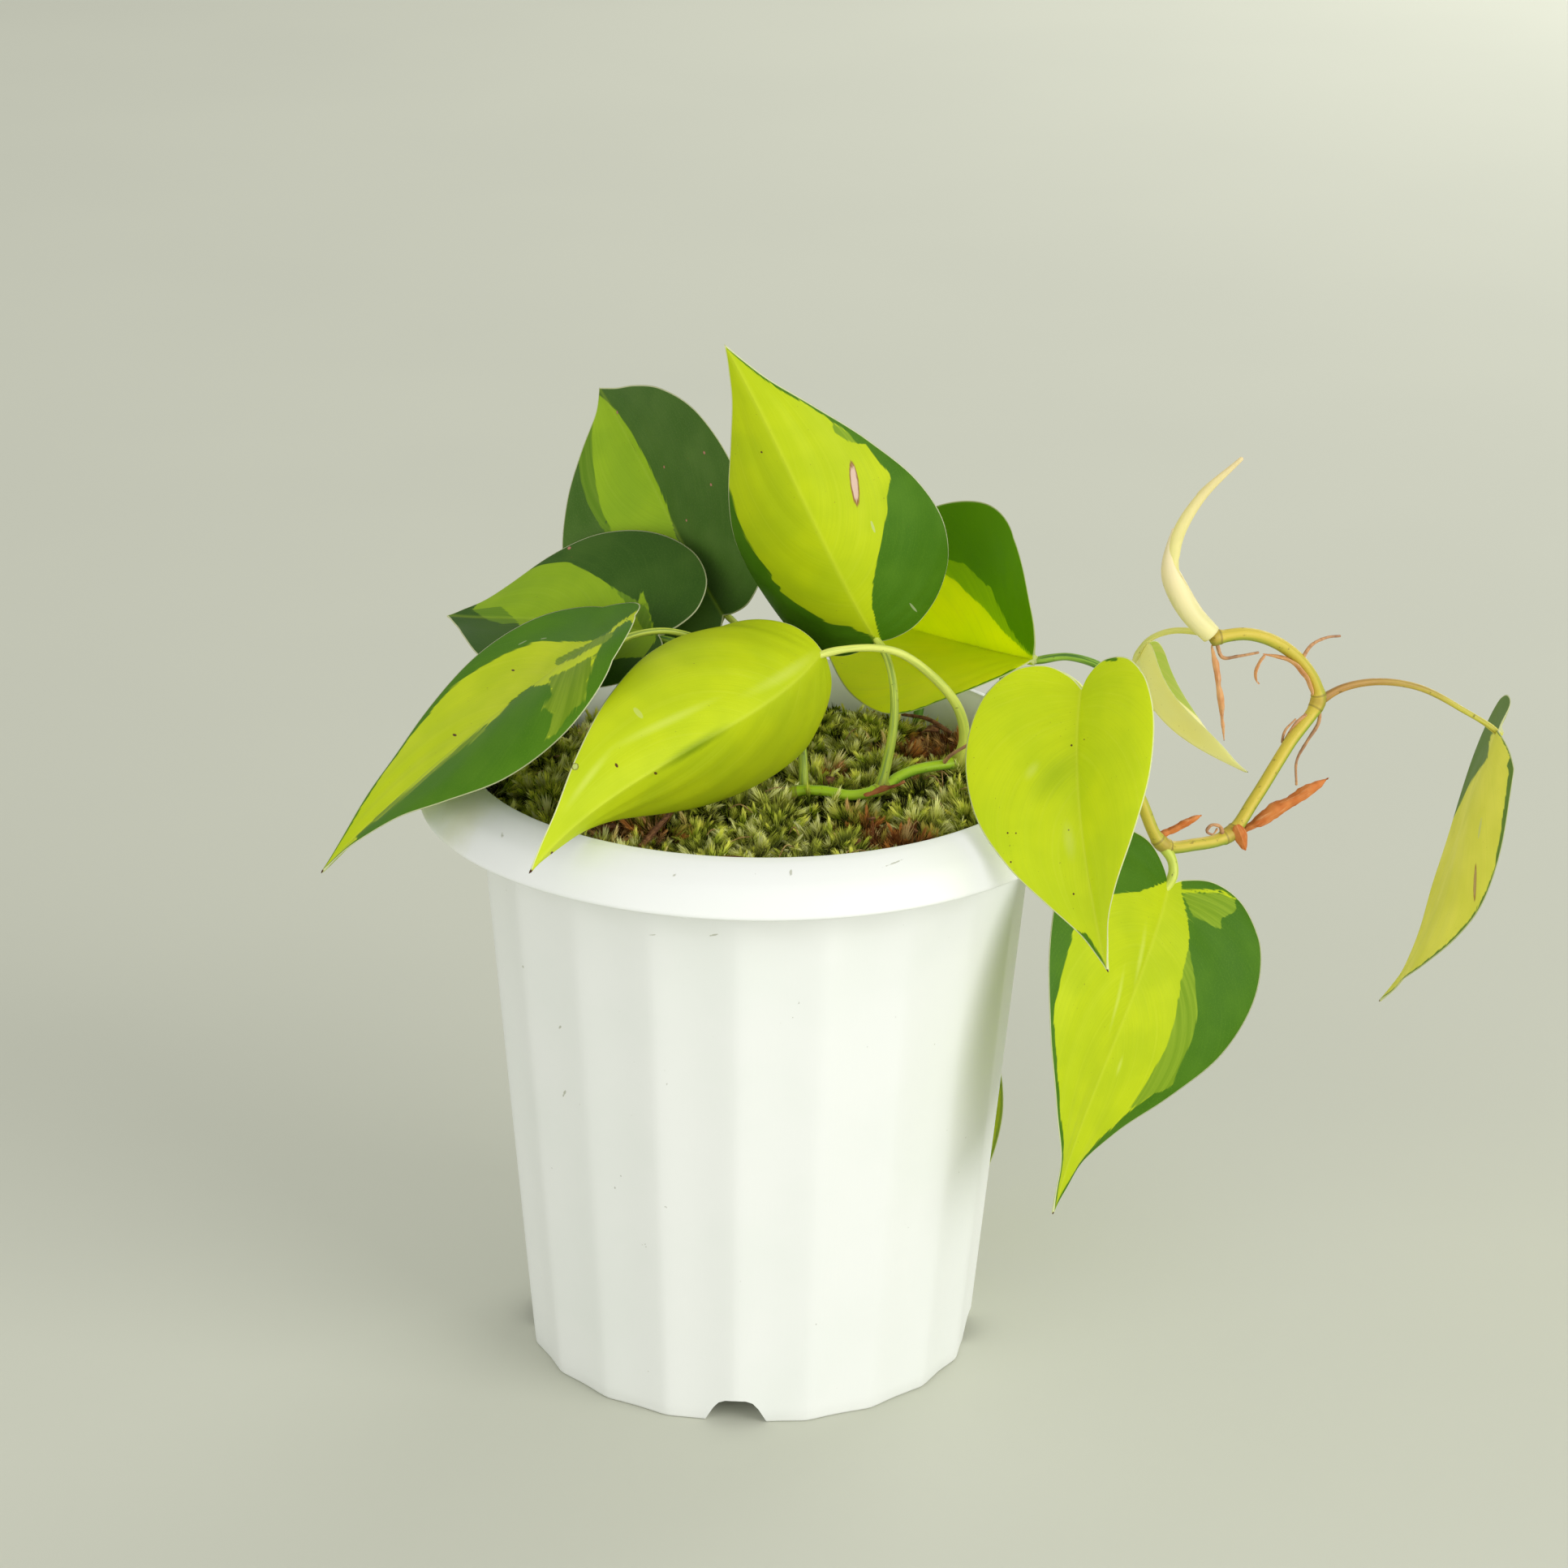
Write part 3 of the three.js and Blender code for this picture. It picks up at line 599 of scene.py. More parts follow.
class Rib:
    # the midrib: an arched and swayed curve from notch to tip, with the blade's own frame along it
    def __init__(self, leaf):
        base, tip = np.array(leaf["base"], float), np.array(leaf["tip"], float)
        chord = tip - base
        length = np.linalg.norm(chord)
        face = np.array(leaf["facing"], float)
        self.face = unit(face - chord * (face @ chord) / length ** 2)
        right = np.cross(chord / length, self.face)
        handles = [base + chord * share + (self.face * arch + right * sway) * length
                   for share, arch, sway in zip((0.33, 0.7), leaf["arch"], leaf["sway"])]
        self.control = [base, *handles, tip]
        self.twist = math.radians(leaf["twist"])
        self.steps = np.linspace(0, 1, 401)
        self.travelled = lengthAlong(self.bezier(self.steps))
        self.length = self.travelled[-1]

    def bezier(self, t):
        a, b, c, d = self.control
        t = np.asarray(t)[..., None]
        return (1 - t) ** 3 * a + 3 * (1 - t) ** 2 * t * b + 3 * (1 - t) * t ** 2 * c + t ** 3 * d

    def slope(self, t):
        a, b, c, d = self.control
        t = np.asarray(t)[..., None]
        return 3 * (1 - t) ** 2 * (b - a) + 6 * (1 - t) * t * (c - b) + 3 * t ** 2 * (d - c)

    def frame(self, distance):
        share = np.clip(distance / self.length, 0, 1)
        t = np.interp(share * self.length, self.travelled, self.steps)
        tangent = unit(self.slope(t))
        centre = self.bezier(t) + tangent * np.minimum(distance, 0)[..., None]
        up = unit(self.face - (tangent @ self.face)[..., None] * tangent)
        side = np.cross(tangent, up)
        turn = (self.twist * share)[..., None]
        return centre, up * np.cos(turn) + side * np.sin(turn), side * np.cos(turn) - up * np.sin(turn)


class Sheet:
    # the blade's middle surface as a grid of rows (notch to tip) and columns (left to right margin)
    def __init__(self, leaf, rows, columns, outline=heartOutline):
        self.leaf = leaf
        self.rib = Rib(leaf)
        inner = np.linspace(0, 1, columns) ** blade["ribCrowding"] * blade["marginColumn"]
        half = np.r_[inner, 1.0]
        across = np.r_[-half[:0:-1], half]
        row = np.linspace(0, 1, rows + 1)
        edge = outlineCurve(outline, row)
        side = (across > 0).astype(int)
        out = np.abs(across)[None]
        length = self.rib.length
        edgeX = np.clip(edge[:, :1], 0, None) ** leaf["belly"]
        edgeX = np.where(edge[:, :1] < 0, edge[:, :1] * np.array(leaf["lobe"])[side], edgeX)
        x = length * (row[:, None] ** 1.5 * (1 - out) + edgeX * out)
        width = np.array(leaf["halfWidth"], float)[side]
        y = edge[:, 1:] * width * out
        curl = np.radians([value or 0.5 for value in leaf["curl"]])[side] / width
        fold = np.radians(leaf["fold"])[side]
        sideways = (np.sin(fold + curl * y) - np.sin(fold)) / curl
        upwards = (np.cos(fold) - np.cos(fold + curl * y)) / curl
        centre, up, lateral = self.rib.frame(x)
        signed = np.sign(across)[None] * sideways
        self.points = centre + lateral * signed[..., None] + up * upwards[..., None]
        self.row, self.out, self.side = row, np.repeat(out, rows + 1, axis=0), side
        self.flat = np.stack([x, np.sign(across)[None] * y], axis=-1)
        phase = row[:, None] - blade["veinSweep"] * out
        self.vein = np.stack([phase * length, y, np.repeat(side[None] * 60.0, rows + 1, axis=0)], axis=-1)
        self.phase = phase
        self.margin = self.marginDistance()
        self.normals = self.findNormals()

    def findNormals(self):
        along = np.gradient(self.points, axis=0)
        over = np.gradient(self.points, axis=1)
        normals = np.cross(over, along)
        size = np.linalg.norm(normals, axis=-1, keepdims=True)
        _, up, _ = self.rib.frame(np.array([0.0, self.rib.length]))
        normals = np.where(size > 1e-9, normals / np.maximum(size, 1e-9), 0)
        normals[0] = up[0]
        normals[-1] = up[1]
        return normals

    def marginDistance(self):
        edges = np.vstack([self.flat[:, 0], self.flat[::-1, -1]])
        return segmentDistance(self.flat.reshape(-1, 2), edges)[0].reshape(self.flat.shape[:2])

    def relief(self, amount=1.0):
        # grooved midrib, sunken side veins with the blade puffed up between them, a slightly waved margin
        across = np.abs(self.flat[..., 1])
        share = np.clip(self.flat[..., 0] / self.rib.length, 0, 1)
        groove = blade["groove"] * (1 - 0.8 * share) * np.exp(-(across / blade["grooveWidth"]) ** 2)
        height = -groove
        body = smooth(across, *blade["puffedFrom"]) * smooth(self.margin, *blade["puffedTo"])
        nearest = np.full(self.phase.shape, 1e9)
        for vein in blade["sideVeins"]:
            nearest = np.minimum(nearest, np.abs(self.phase - vein) * self.rib.length)
        height = height - blade["veinDepth"] * np.exp(-(nearest / blade["veinWidth"]) ** 2) * body
        height = height + blade["quilt"] * np.clip(nearest / blade["quiltReach"], 0, 1) ** 2 * body
        seed = int(abs(self.leaf["base"][0]) * 7 + abs(self.leaf["tip"][2]))
        turns = self.row[:, None] * blade["waveTurns"] + seed + 2.2 * self.side[None]
        wave = np.sin(turns) * self.out ** 3
        wave = wave + 0.7 * softNoise(self.vein / 10, 1.6, seed, 1) * self.out
        fade = smooth(self.row, 0.03, 0.2) * (1 - smooth(self.row, 0.8, 0.97))
        return amount * (height + blade["wave"] * wave * fade[:, None])

    def shell(self, thickness, relief, ridge=0.0):
        # both faces of the blade, closed along a thin rounded margin, with the rib raised below
        rows, width = len(self.row) - 1, self.points.shape[1]
        half = thickness / 2 * np.sqrt(1 - self.out ** 6)
        across = np.abs(self.flat[..., 1])
        share = np.clip(self.flat[..., 0] / self.rib.length, 0, 1)
        keel = ridge * (1 - share) ** 0.7 * np.exp(-(across / blade["ridgeWidth"]) ** 2)
        above = self.points + self.normals * (relief + half)[..., None]
        below = self.points + self.normals * (relief - half - keel)[..., None]
        self.top, self.inside = slice(1, rows), slice(1, width - 1)
        sides = [above[self.top].reshape(-1, 3), below[self.top, self.inside].reshape(-1, 3)]
        points = np.vstack([*sides, above[0, :1], above[-1, :1]])
        upper = np.arange((rows - 1) * width).reshape(rows - 1, width)
        lower = np.empty_like(upper)
        lower[:, 1:-1] = upper.size + np.arange((rows - 1) * (width - 2)).reshape(rows - 1, width - 2)
        lower[:, [0, -1]] = upper[:, [0, -1]]
        start, end = len(points) - 2, len(points) - 1
        faces = []
        for grid, flip in ((upper, False), (lower, True)):
            faces += gridQuads(grid, flip)
            for j in range(width - 1):
                notch = [start, int(grid[0, j + 1]), int(grid[0, j])]
                tip = [int(grid[-1, j]), int(grid[-1, j + 1]), end]
                faces += [notch[::-1], tip[::-1]] if flip else [notch, tip]
        return points, faces

    def spread(self, values):
        # a grid's values in the order of the shell's points
        last = values.shape[-1]
        upper = values[self.top].reshape(-1, last)
        lower = values[self.top, self.inside].reshape(-1, last)
        return np.vstack([upper, lower, values[0, :1], values[-1, :1]])

    def underside(self):
        upper = (len(self.row) - 2) * self.points.shape[1]
        lower = (len(self.row) - 2) * (self.points.shape[1] - 2)
        return np.r_[np.zeros(upper), np.ones(lower), 0, 0]

    def locate(self, pixel):
        # the flat coordinates of the blade's point that shows at a pixel of the photograph
        pixels, _ = photoPixels(self.points)
        toView = unit(np.array(view["place"]) - self.points)
        facing = np.abs((self.normals * toView).sum(-1)) > 0.08
        away = np.linalg.norm(pixels - np.array(pixel), axis=-1) + np.where(facing, 0, 1e6)
        nearest = np.argsort(away, axis=None)[:4]
        weight = 1 / (away.ravel()[nearest] + 0.05)
        return (self.flat.reshape(-1, 2)[nearest] * weight[:, None]).sum(0) / weight.sum()


def segmentDistance(points, line):
    # distance to the nearest stretch of a line, and whether the points lie inside it when it is closed
    line = np.asarray(line, float)
    nearest = np.full(len(points), 1e9)
    inside = np.zeros(len(points), bool)
    for start, end in zip(line, np.roll(line, -1, axis=0)):
        stretch = end - start
        offset = points - start
        share = np.clip(offset @ stretch / max(stretch @ stretch, 1e-12), 0, 1)
        nearest = np.minimum(nearest, np.linalg.norm(offset - share[:, None] * stretch, axis=1))
        if start[1] != end[1]:
            crossing = (start[1] > points[:, 1]) != (end[1] > points[:, 1])
            reach = start[0] + (points[:, 1] - start[1]) / (end[1] - start[1]) * (end[0] - start[0])
            inside ^= crossing & (points[:, 0] < reach)
    return nearest, inside


# Markings: levels of green are laid over each other as patches read from the photograph, in its pixels,
# as stripes, or as bands along a margin in millimetres; a field is negative where its green lies
levels = {"lime": 0, "mid": 1, "dark": 2}
farAway = 30.0
bandEnd = 0.05          # the share of the blade over which a band runs out


def markings(sheet):
    leaf = sheet.leaf
    pixels, perMm = photoPixels(sheet.points)
    flatPixels = pixels.reshape(-1, 2)
    scale = perMm.reshape(-1)
    ground = levels[leaf["ground"]]
    fields = {level: np.full(len(flatPixels), -farAway if ground >= level else farAway) for level in (1, 2)}

    def lay(level, distance):
        for threshold, field in fields.items():
            if level >= threshold:
                fields[threshold] = np.minimum(field, distance)
            else:
                fields[threshold] = np.maximum(field, -distance)

    for kind, tone, *shape in leaf["paint"]:
        if kind == "patch":
            away, inside = segmentDistance(flatPixels, shape[0])
            distance = np.where(inside, -away, away) / scale
        elif kind == "stripe":
            there = np.array(shape[0], float)
            doubled = np.vstack([there, there[-2:0:-1]])
            away, _ = segmentDistance(flatPixels, doubled)
            distance = away / scale - shape[1]
        else:
            onSide = np.repeat((sheet.side == shape[0])[None], len(sheet.row), axis=0)
            low, high = shape[1]
            ends = smooth(sheet.row, low, low + bandEnd) * (1 - smooth(sheet.row, high, high + bandEnd))
            width = np.interp(sheet.row, [low, high], shape[2]) * ends
            distance = np.where(onSide, sheet.margin - width[:, None], farAway).ravel()
        lay(levels[tone], distance)
    grid = sheet.margin.shape
    return np.stack([fields[2].reshape(grid), fields[1].reshape(grid), sheet.margin], axis=-1)


# Marks on a blade: soft ones are a veil of one tone, painted shade along creases and folds and painted
# highlights; a scar has a rim, and most have a drier middle
paintedLightMarks = {
    "crease": {"tone": (164, 192, 20), "strength": 0.5},
    "sheen": {"tone": (222, 234, 104), "strength": 0.5},
    "fold": {"tone": (118, 148, 14), "strength": 0.75},
}
scars = {
    "scar": {"rim": (150, 96, 62), "middle": (226, 196, 178), "strength": 0.9},
    "brown": {"rim": (116, 84, 34), "middle": (92, 62, 30), "strength": 0.9},
    "pink": {"rim": (168, 110, 92), "middle": (196, 140, 120), "strength": 0.9},
    "ring": {"rim": (124, 118, 54), "middle": (196, 208, 120), "strength": 0.9},
    "tan": {"rim": (176, 132, 74), "middle": (206, 176, 120), "strength": 0.9},
    "pale": {"rim": (214, 226, 132), "strength": 0.5},
    "white": {"rim": (206, 214, 170), "strength": 0.5},
}


def bladeFinish(name, tone, marks, tipBrown):
    f = Finish(name)
    flat, vein = f.layer("flat"), f.layer("vein")
    dark, mid, edge = f.split(f.layer("cover"))
    under = f.ease(f.split(flat)[2], 0.6, 0.9)
    streaks = f.noise(vein, 1.0, 3.0, 0.55, (0.8, 0.05, 1))
    combing = f.noise(vein, 1.0, 2.0, 0.5, (2.6, 0.09, 1))
    clouds = f.noise(flat, 0.075)
    grain = f.noise(flat, 2.6, 2.0, 0.6)
    freckles = f.noise(flat, 1.6, 1.0)
    pores = f.noise(flat, 2.4, 2.0, 0.7)
    ragged = f.calc("MULTIPLY", f.calc("SUBTRACT", streaks, 0.5), 1.3)
    toothed = f.calc("MULTIPLY", f.ease(combing, 0.6, 0.68), f.ease(streaks, 0.54, 0.6, 0.0, 0.5))
    raggedDark = f.calc("ADD", dark, f.calc("ADD", ragged, toothed))
    raggedMid = f.calc("ADD", mid, f.calc("SUBTRACT", ragged, toothed))
    lime = f.veil(tone["lime"], tone["limeDeep"], clouds, 0.3, 0.7)
    lime = f.veil(lime, tone["limePale"], streaks, 0.5, 0.75, tone["streak"])
    lime = f.mix(f.ease(combing, 0.3, 0.6, 0.16, 0.0), lime, tone["limeShade"])
    middle = f.veil(tone["mid"], tone["midPale"], streaks, 0.35, 0.7)
    deep = f.veil(tone["dark"], tone["darkPale"], clouds, 0.35, 0.75, 0.5)
    deep = f.veil(deep, tone["darkPale"], combing, 0.45, 0.75, 0.22)
    deep = f.veil(deep, tone["darkPale"], grain, 0.5, 0.7, 0.45)
    colour = f.veil(lime, middle, raggedMid, 0.16, -0.16)
    colour = f.veil(colour, deep, raggedDark, 0.15, -0.15)
    colour = f.veil(colour, tone["limePale"], f.calc("ABSOLUTE", f.split(flat)[1]), 0.9, 0.1, tone["rib"])
    colour = f.veil(colour, (120, 110, 40), freckles, 0.76, 0.79, 0.5)
    colour = f.veil(colour, tone["margin"], edge, 0.34, 0.16, 0.85)
    colour = f.mix(f.calc("MULTIPLY", under, 0.3), colour, tone["underside"])
    for kind, centre, turn, reach, breadth in marks:
        local, away = f.spot(flat, (*centre, 0), (0, 0, turn), (reach, breadth, 1000))
        away = f.calc("ADD", away, f.calc("MULTIPLY", f.calc("SUBTRACT", combing, 0.5), 0.5))
        # crease and fold marks are painted shade, sheen marks painted highlights
        if kind in paintedLightMarks:
            colour = f.veil(colour, paintedLightMarks[kind]["tone"], away, 1.3, 0.0, paintedLightMarks[kind]["strength"])
            continue
        scar = scars[kind]
        colour = f.veil(colour, scar["rim"], away, 1.1, 0.9, scar["strength"])
        if "middle" in scar:
            lines = f.noise(local, 1.0, stretch=(0.8, 5.0, 0))
            inside = f.calc("ADD", away, f.calc("MULTIPLY", lines, 0.8))
            colour = f.veil(colour, scar["middle"], inside, 1.22, 1.05)
    if tipBrown:
        tip, reach = tipBrown
        colour = f.veil(colour, (84, 52, 30), f.vector("DISTANCE", flat, (tip, 0, 0)), reach, reach * 0.6)
    skin = f.calc("ADD", f.calc("MULTIPLY", combing, 0.6), f.calc("MULTIPLY", pores, 0.4))
    dull = f.calc("ADD", clouds, f.calc("MULTIPLY", pores, 0.3))
    gloss = f.ease(dull, 0.4, 0.9, tone["gloss"], tone["gloss"] + 0.1)
    glow = f.mix(0.6, colour, tone["glow"], "MULTIPLY")
    through = f.mix(0.35, colour, glow)
    return f.surface(colour, f.bump(skin, 0.08, 0.5), gloss, 0.19, 1.45, tone["through"], through)


# Leaf tones: the lime colour and copies of it; the lighter copies, one also letting more light through, are
# painted light for leaves that catch more of it, the darker copies painted shade for leaves in shade; young
# and yellow are the colours of those leaves
tones = {
    "lime": {
        "lime": (200, 216, 20), "limeDeep": (188, 207, 20), "limePale": (214, 226, 64),
        "limeShade": (166, 190, 18), "mid": (124, 158, 24), "midPale": (146, 176, 40), "dark": (68, 116, 8),
        "darkPale": (92, 138, 28), "margin": (236, 238, 190), "underside": (188, 206, 80),
        "glow": (214, 226, 24), "streak": 0.16, "rib": 0.3, "gloss": 0.46, "through": 0.2,
    },
}
tones["bright"] = {
    **tones["lime"], "lime": (218, 234, 26), "limeDeep": (206, 226, 26), "limePale": (230, 240, 78),
    "limeShade": (190, 212, 22), "dark": (78, 130, 10), "darkPale": (102, 150, 30),
}
tones["litMild"] = {
    **tones["bright"], "lime": (207, 223, 28), "limeDeep": (195, 214, 28), "limePale": (218, 230, 76),
    "limeShade": (182, 204, 22),
}
tones["shaded"] = {
    **tones["lime"], "lime": (160, 194, 32), "limeDeep": (148, 184, 32), "limePale": (178, 206, 64),
    "limeShade": (124, 164, 28), "mid": (108, 148, 30), "midPale": (124, 160, 42), "dark": (58, 96, 22),
    "darkPale": (84, 118, 42),
}
tones["shadedDusky"] = {
    **tones["shaded"], "lime": (168, 203, 38), "limeDeep": (156, 193, 38), "dark": (72, 110, 34),
    "darkPale": (102, 134, 60),
}
tones["backlit"] = {
    **tones["lime"], "lime": (248, 255, 6), "limeDeep": (240, 252, 6), "limeShade": (226, 242, 6),
    "dark": (112, 164, 2), "darkPale": (126, 176, 6), "mid": (166, 204, 6), "midPale": (178, 212, 10),
    "glow": (255, 255, 60), "through": 0.55,
}
tones["young"] = {
    **tones["lime"], "lime": (255, 252, 194), "limeDeep": (255, 250, 176), "limePale": (255, 254, 220),
    "limeShade": (250, 248, 166), "mid": (190, 212, 88), "midPale": (204, 214, 104), "through": 0.38,
    "underside": (240, 238, 160), "glow": (252, 250, 150),
}
tones["yellow"] = {
    **tones["lime"], "lime": (246, 242, 104), "limeDeep": (236, 234, 92), "limeShade": (222, 224, 84),
    "underside": (236, 234, 120), "dark": (112, 146, 62), "darkPale": (126, 152, 72), "mid": (160, 180, 66),
    "midPale": (172, 190, 80), "through": 0.3,
}

# Leaf stalks: colours from where it grows to the blade, and how strongly green stripes run along it
stalkTones = {
    "cream": {"low": (210, 222, 92), "high": (234, 240, 124), "stripe": (150, 184, 62), "strength": 0.4},
    "striped": {"low": (176, 196, 64), "high": (212, 226, 88), "stripe": (86, 124, 42), "strength": 0.65},
    "green": {"low": (108, 156, 50), "high": (164, 200, 66), "stripe": (48, 98, 38), "strength": 0.8},
    "amber": {"low": (186, 142, 76), "high": (208, 206, 84), "stripe": (132, 92, 40), "strength": 0.45},
    "tender": {"low": (232, 228, 122), "high": (242, 238, 148), "stripe": (204, 210, 96), "strength": 0.35},
}


def stalkFinish(name, tone):
    f = Finish(name)
    wrapped, share = f.aroundBar(0.03)
    stripes = f.noise(wrapped, 2.3, 2.0, 0.6)
    flecks = f.noise(f.place(), 900.0)
    colour = f.veil(tone["low"], tone["high"], share, 0.05, 0.7)
    colour = f.veil(colour, tone["stripe"], stripes, 0.47, 0.6, tone["strength"])
    colour = f.veil(colour, (122, 104, 48), share, 0.05, 0.0, 0.5)
    colour = f.veil(colour, (84, 76, 36), flecks, 0.68, 0.74, 0.6)
    normal = f.bump(f.calc("ADD", stripes, flecks), 0.1, 0.4)
    return f.surface(colour, normal, f.ease(flecks, 0.3, 0.7, 0.38, 0.5), 0.45, 1.45, 0.12)


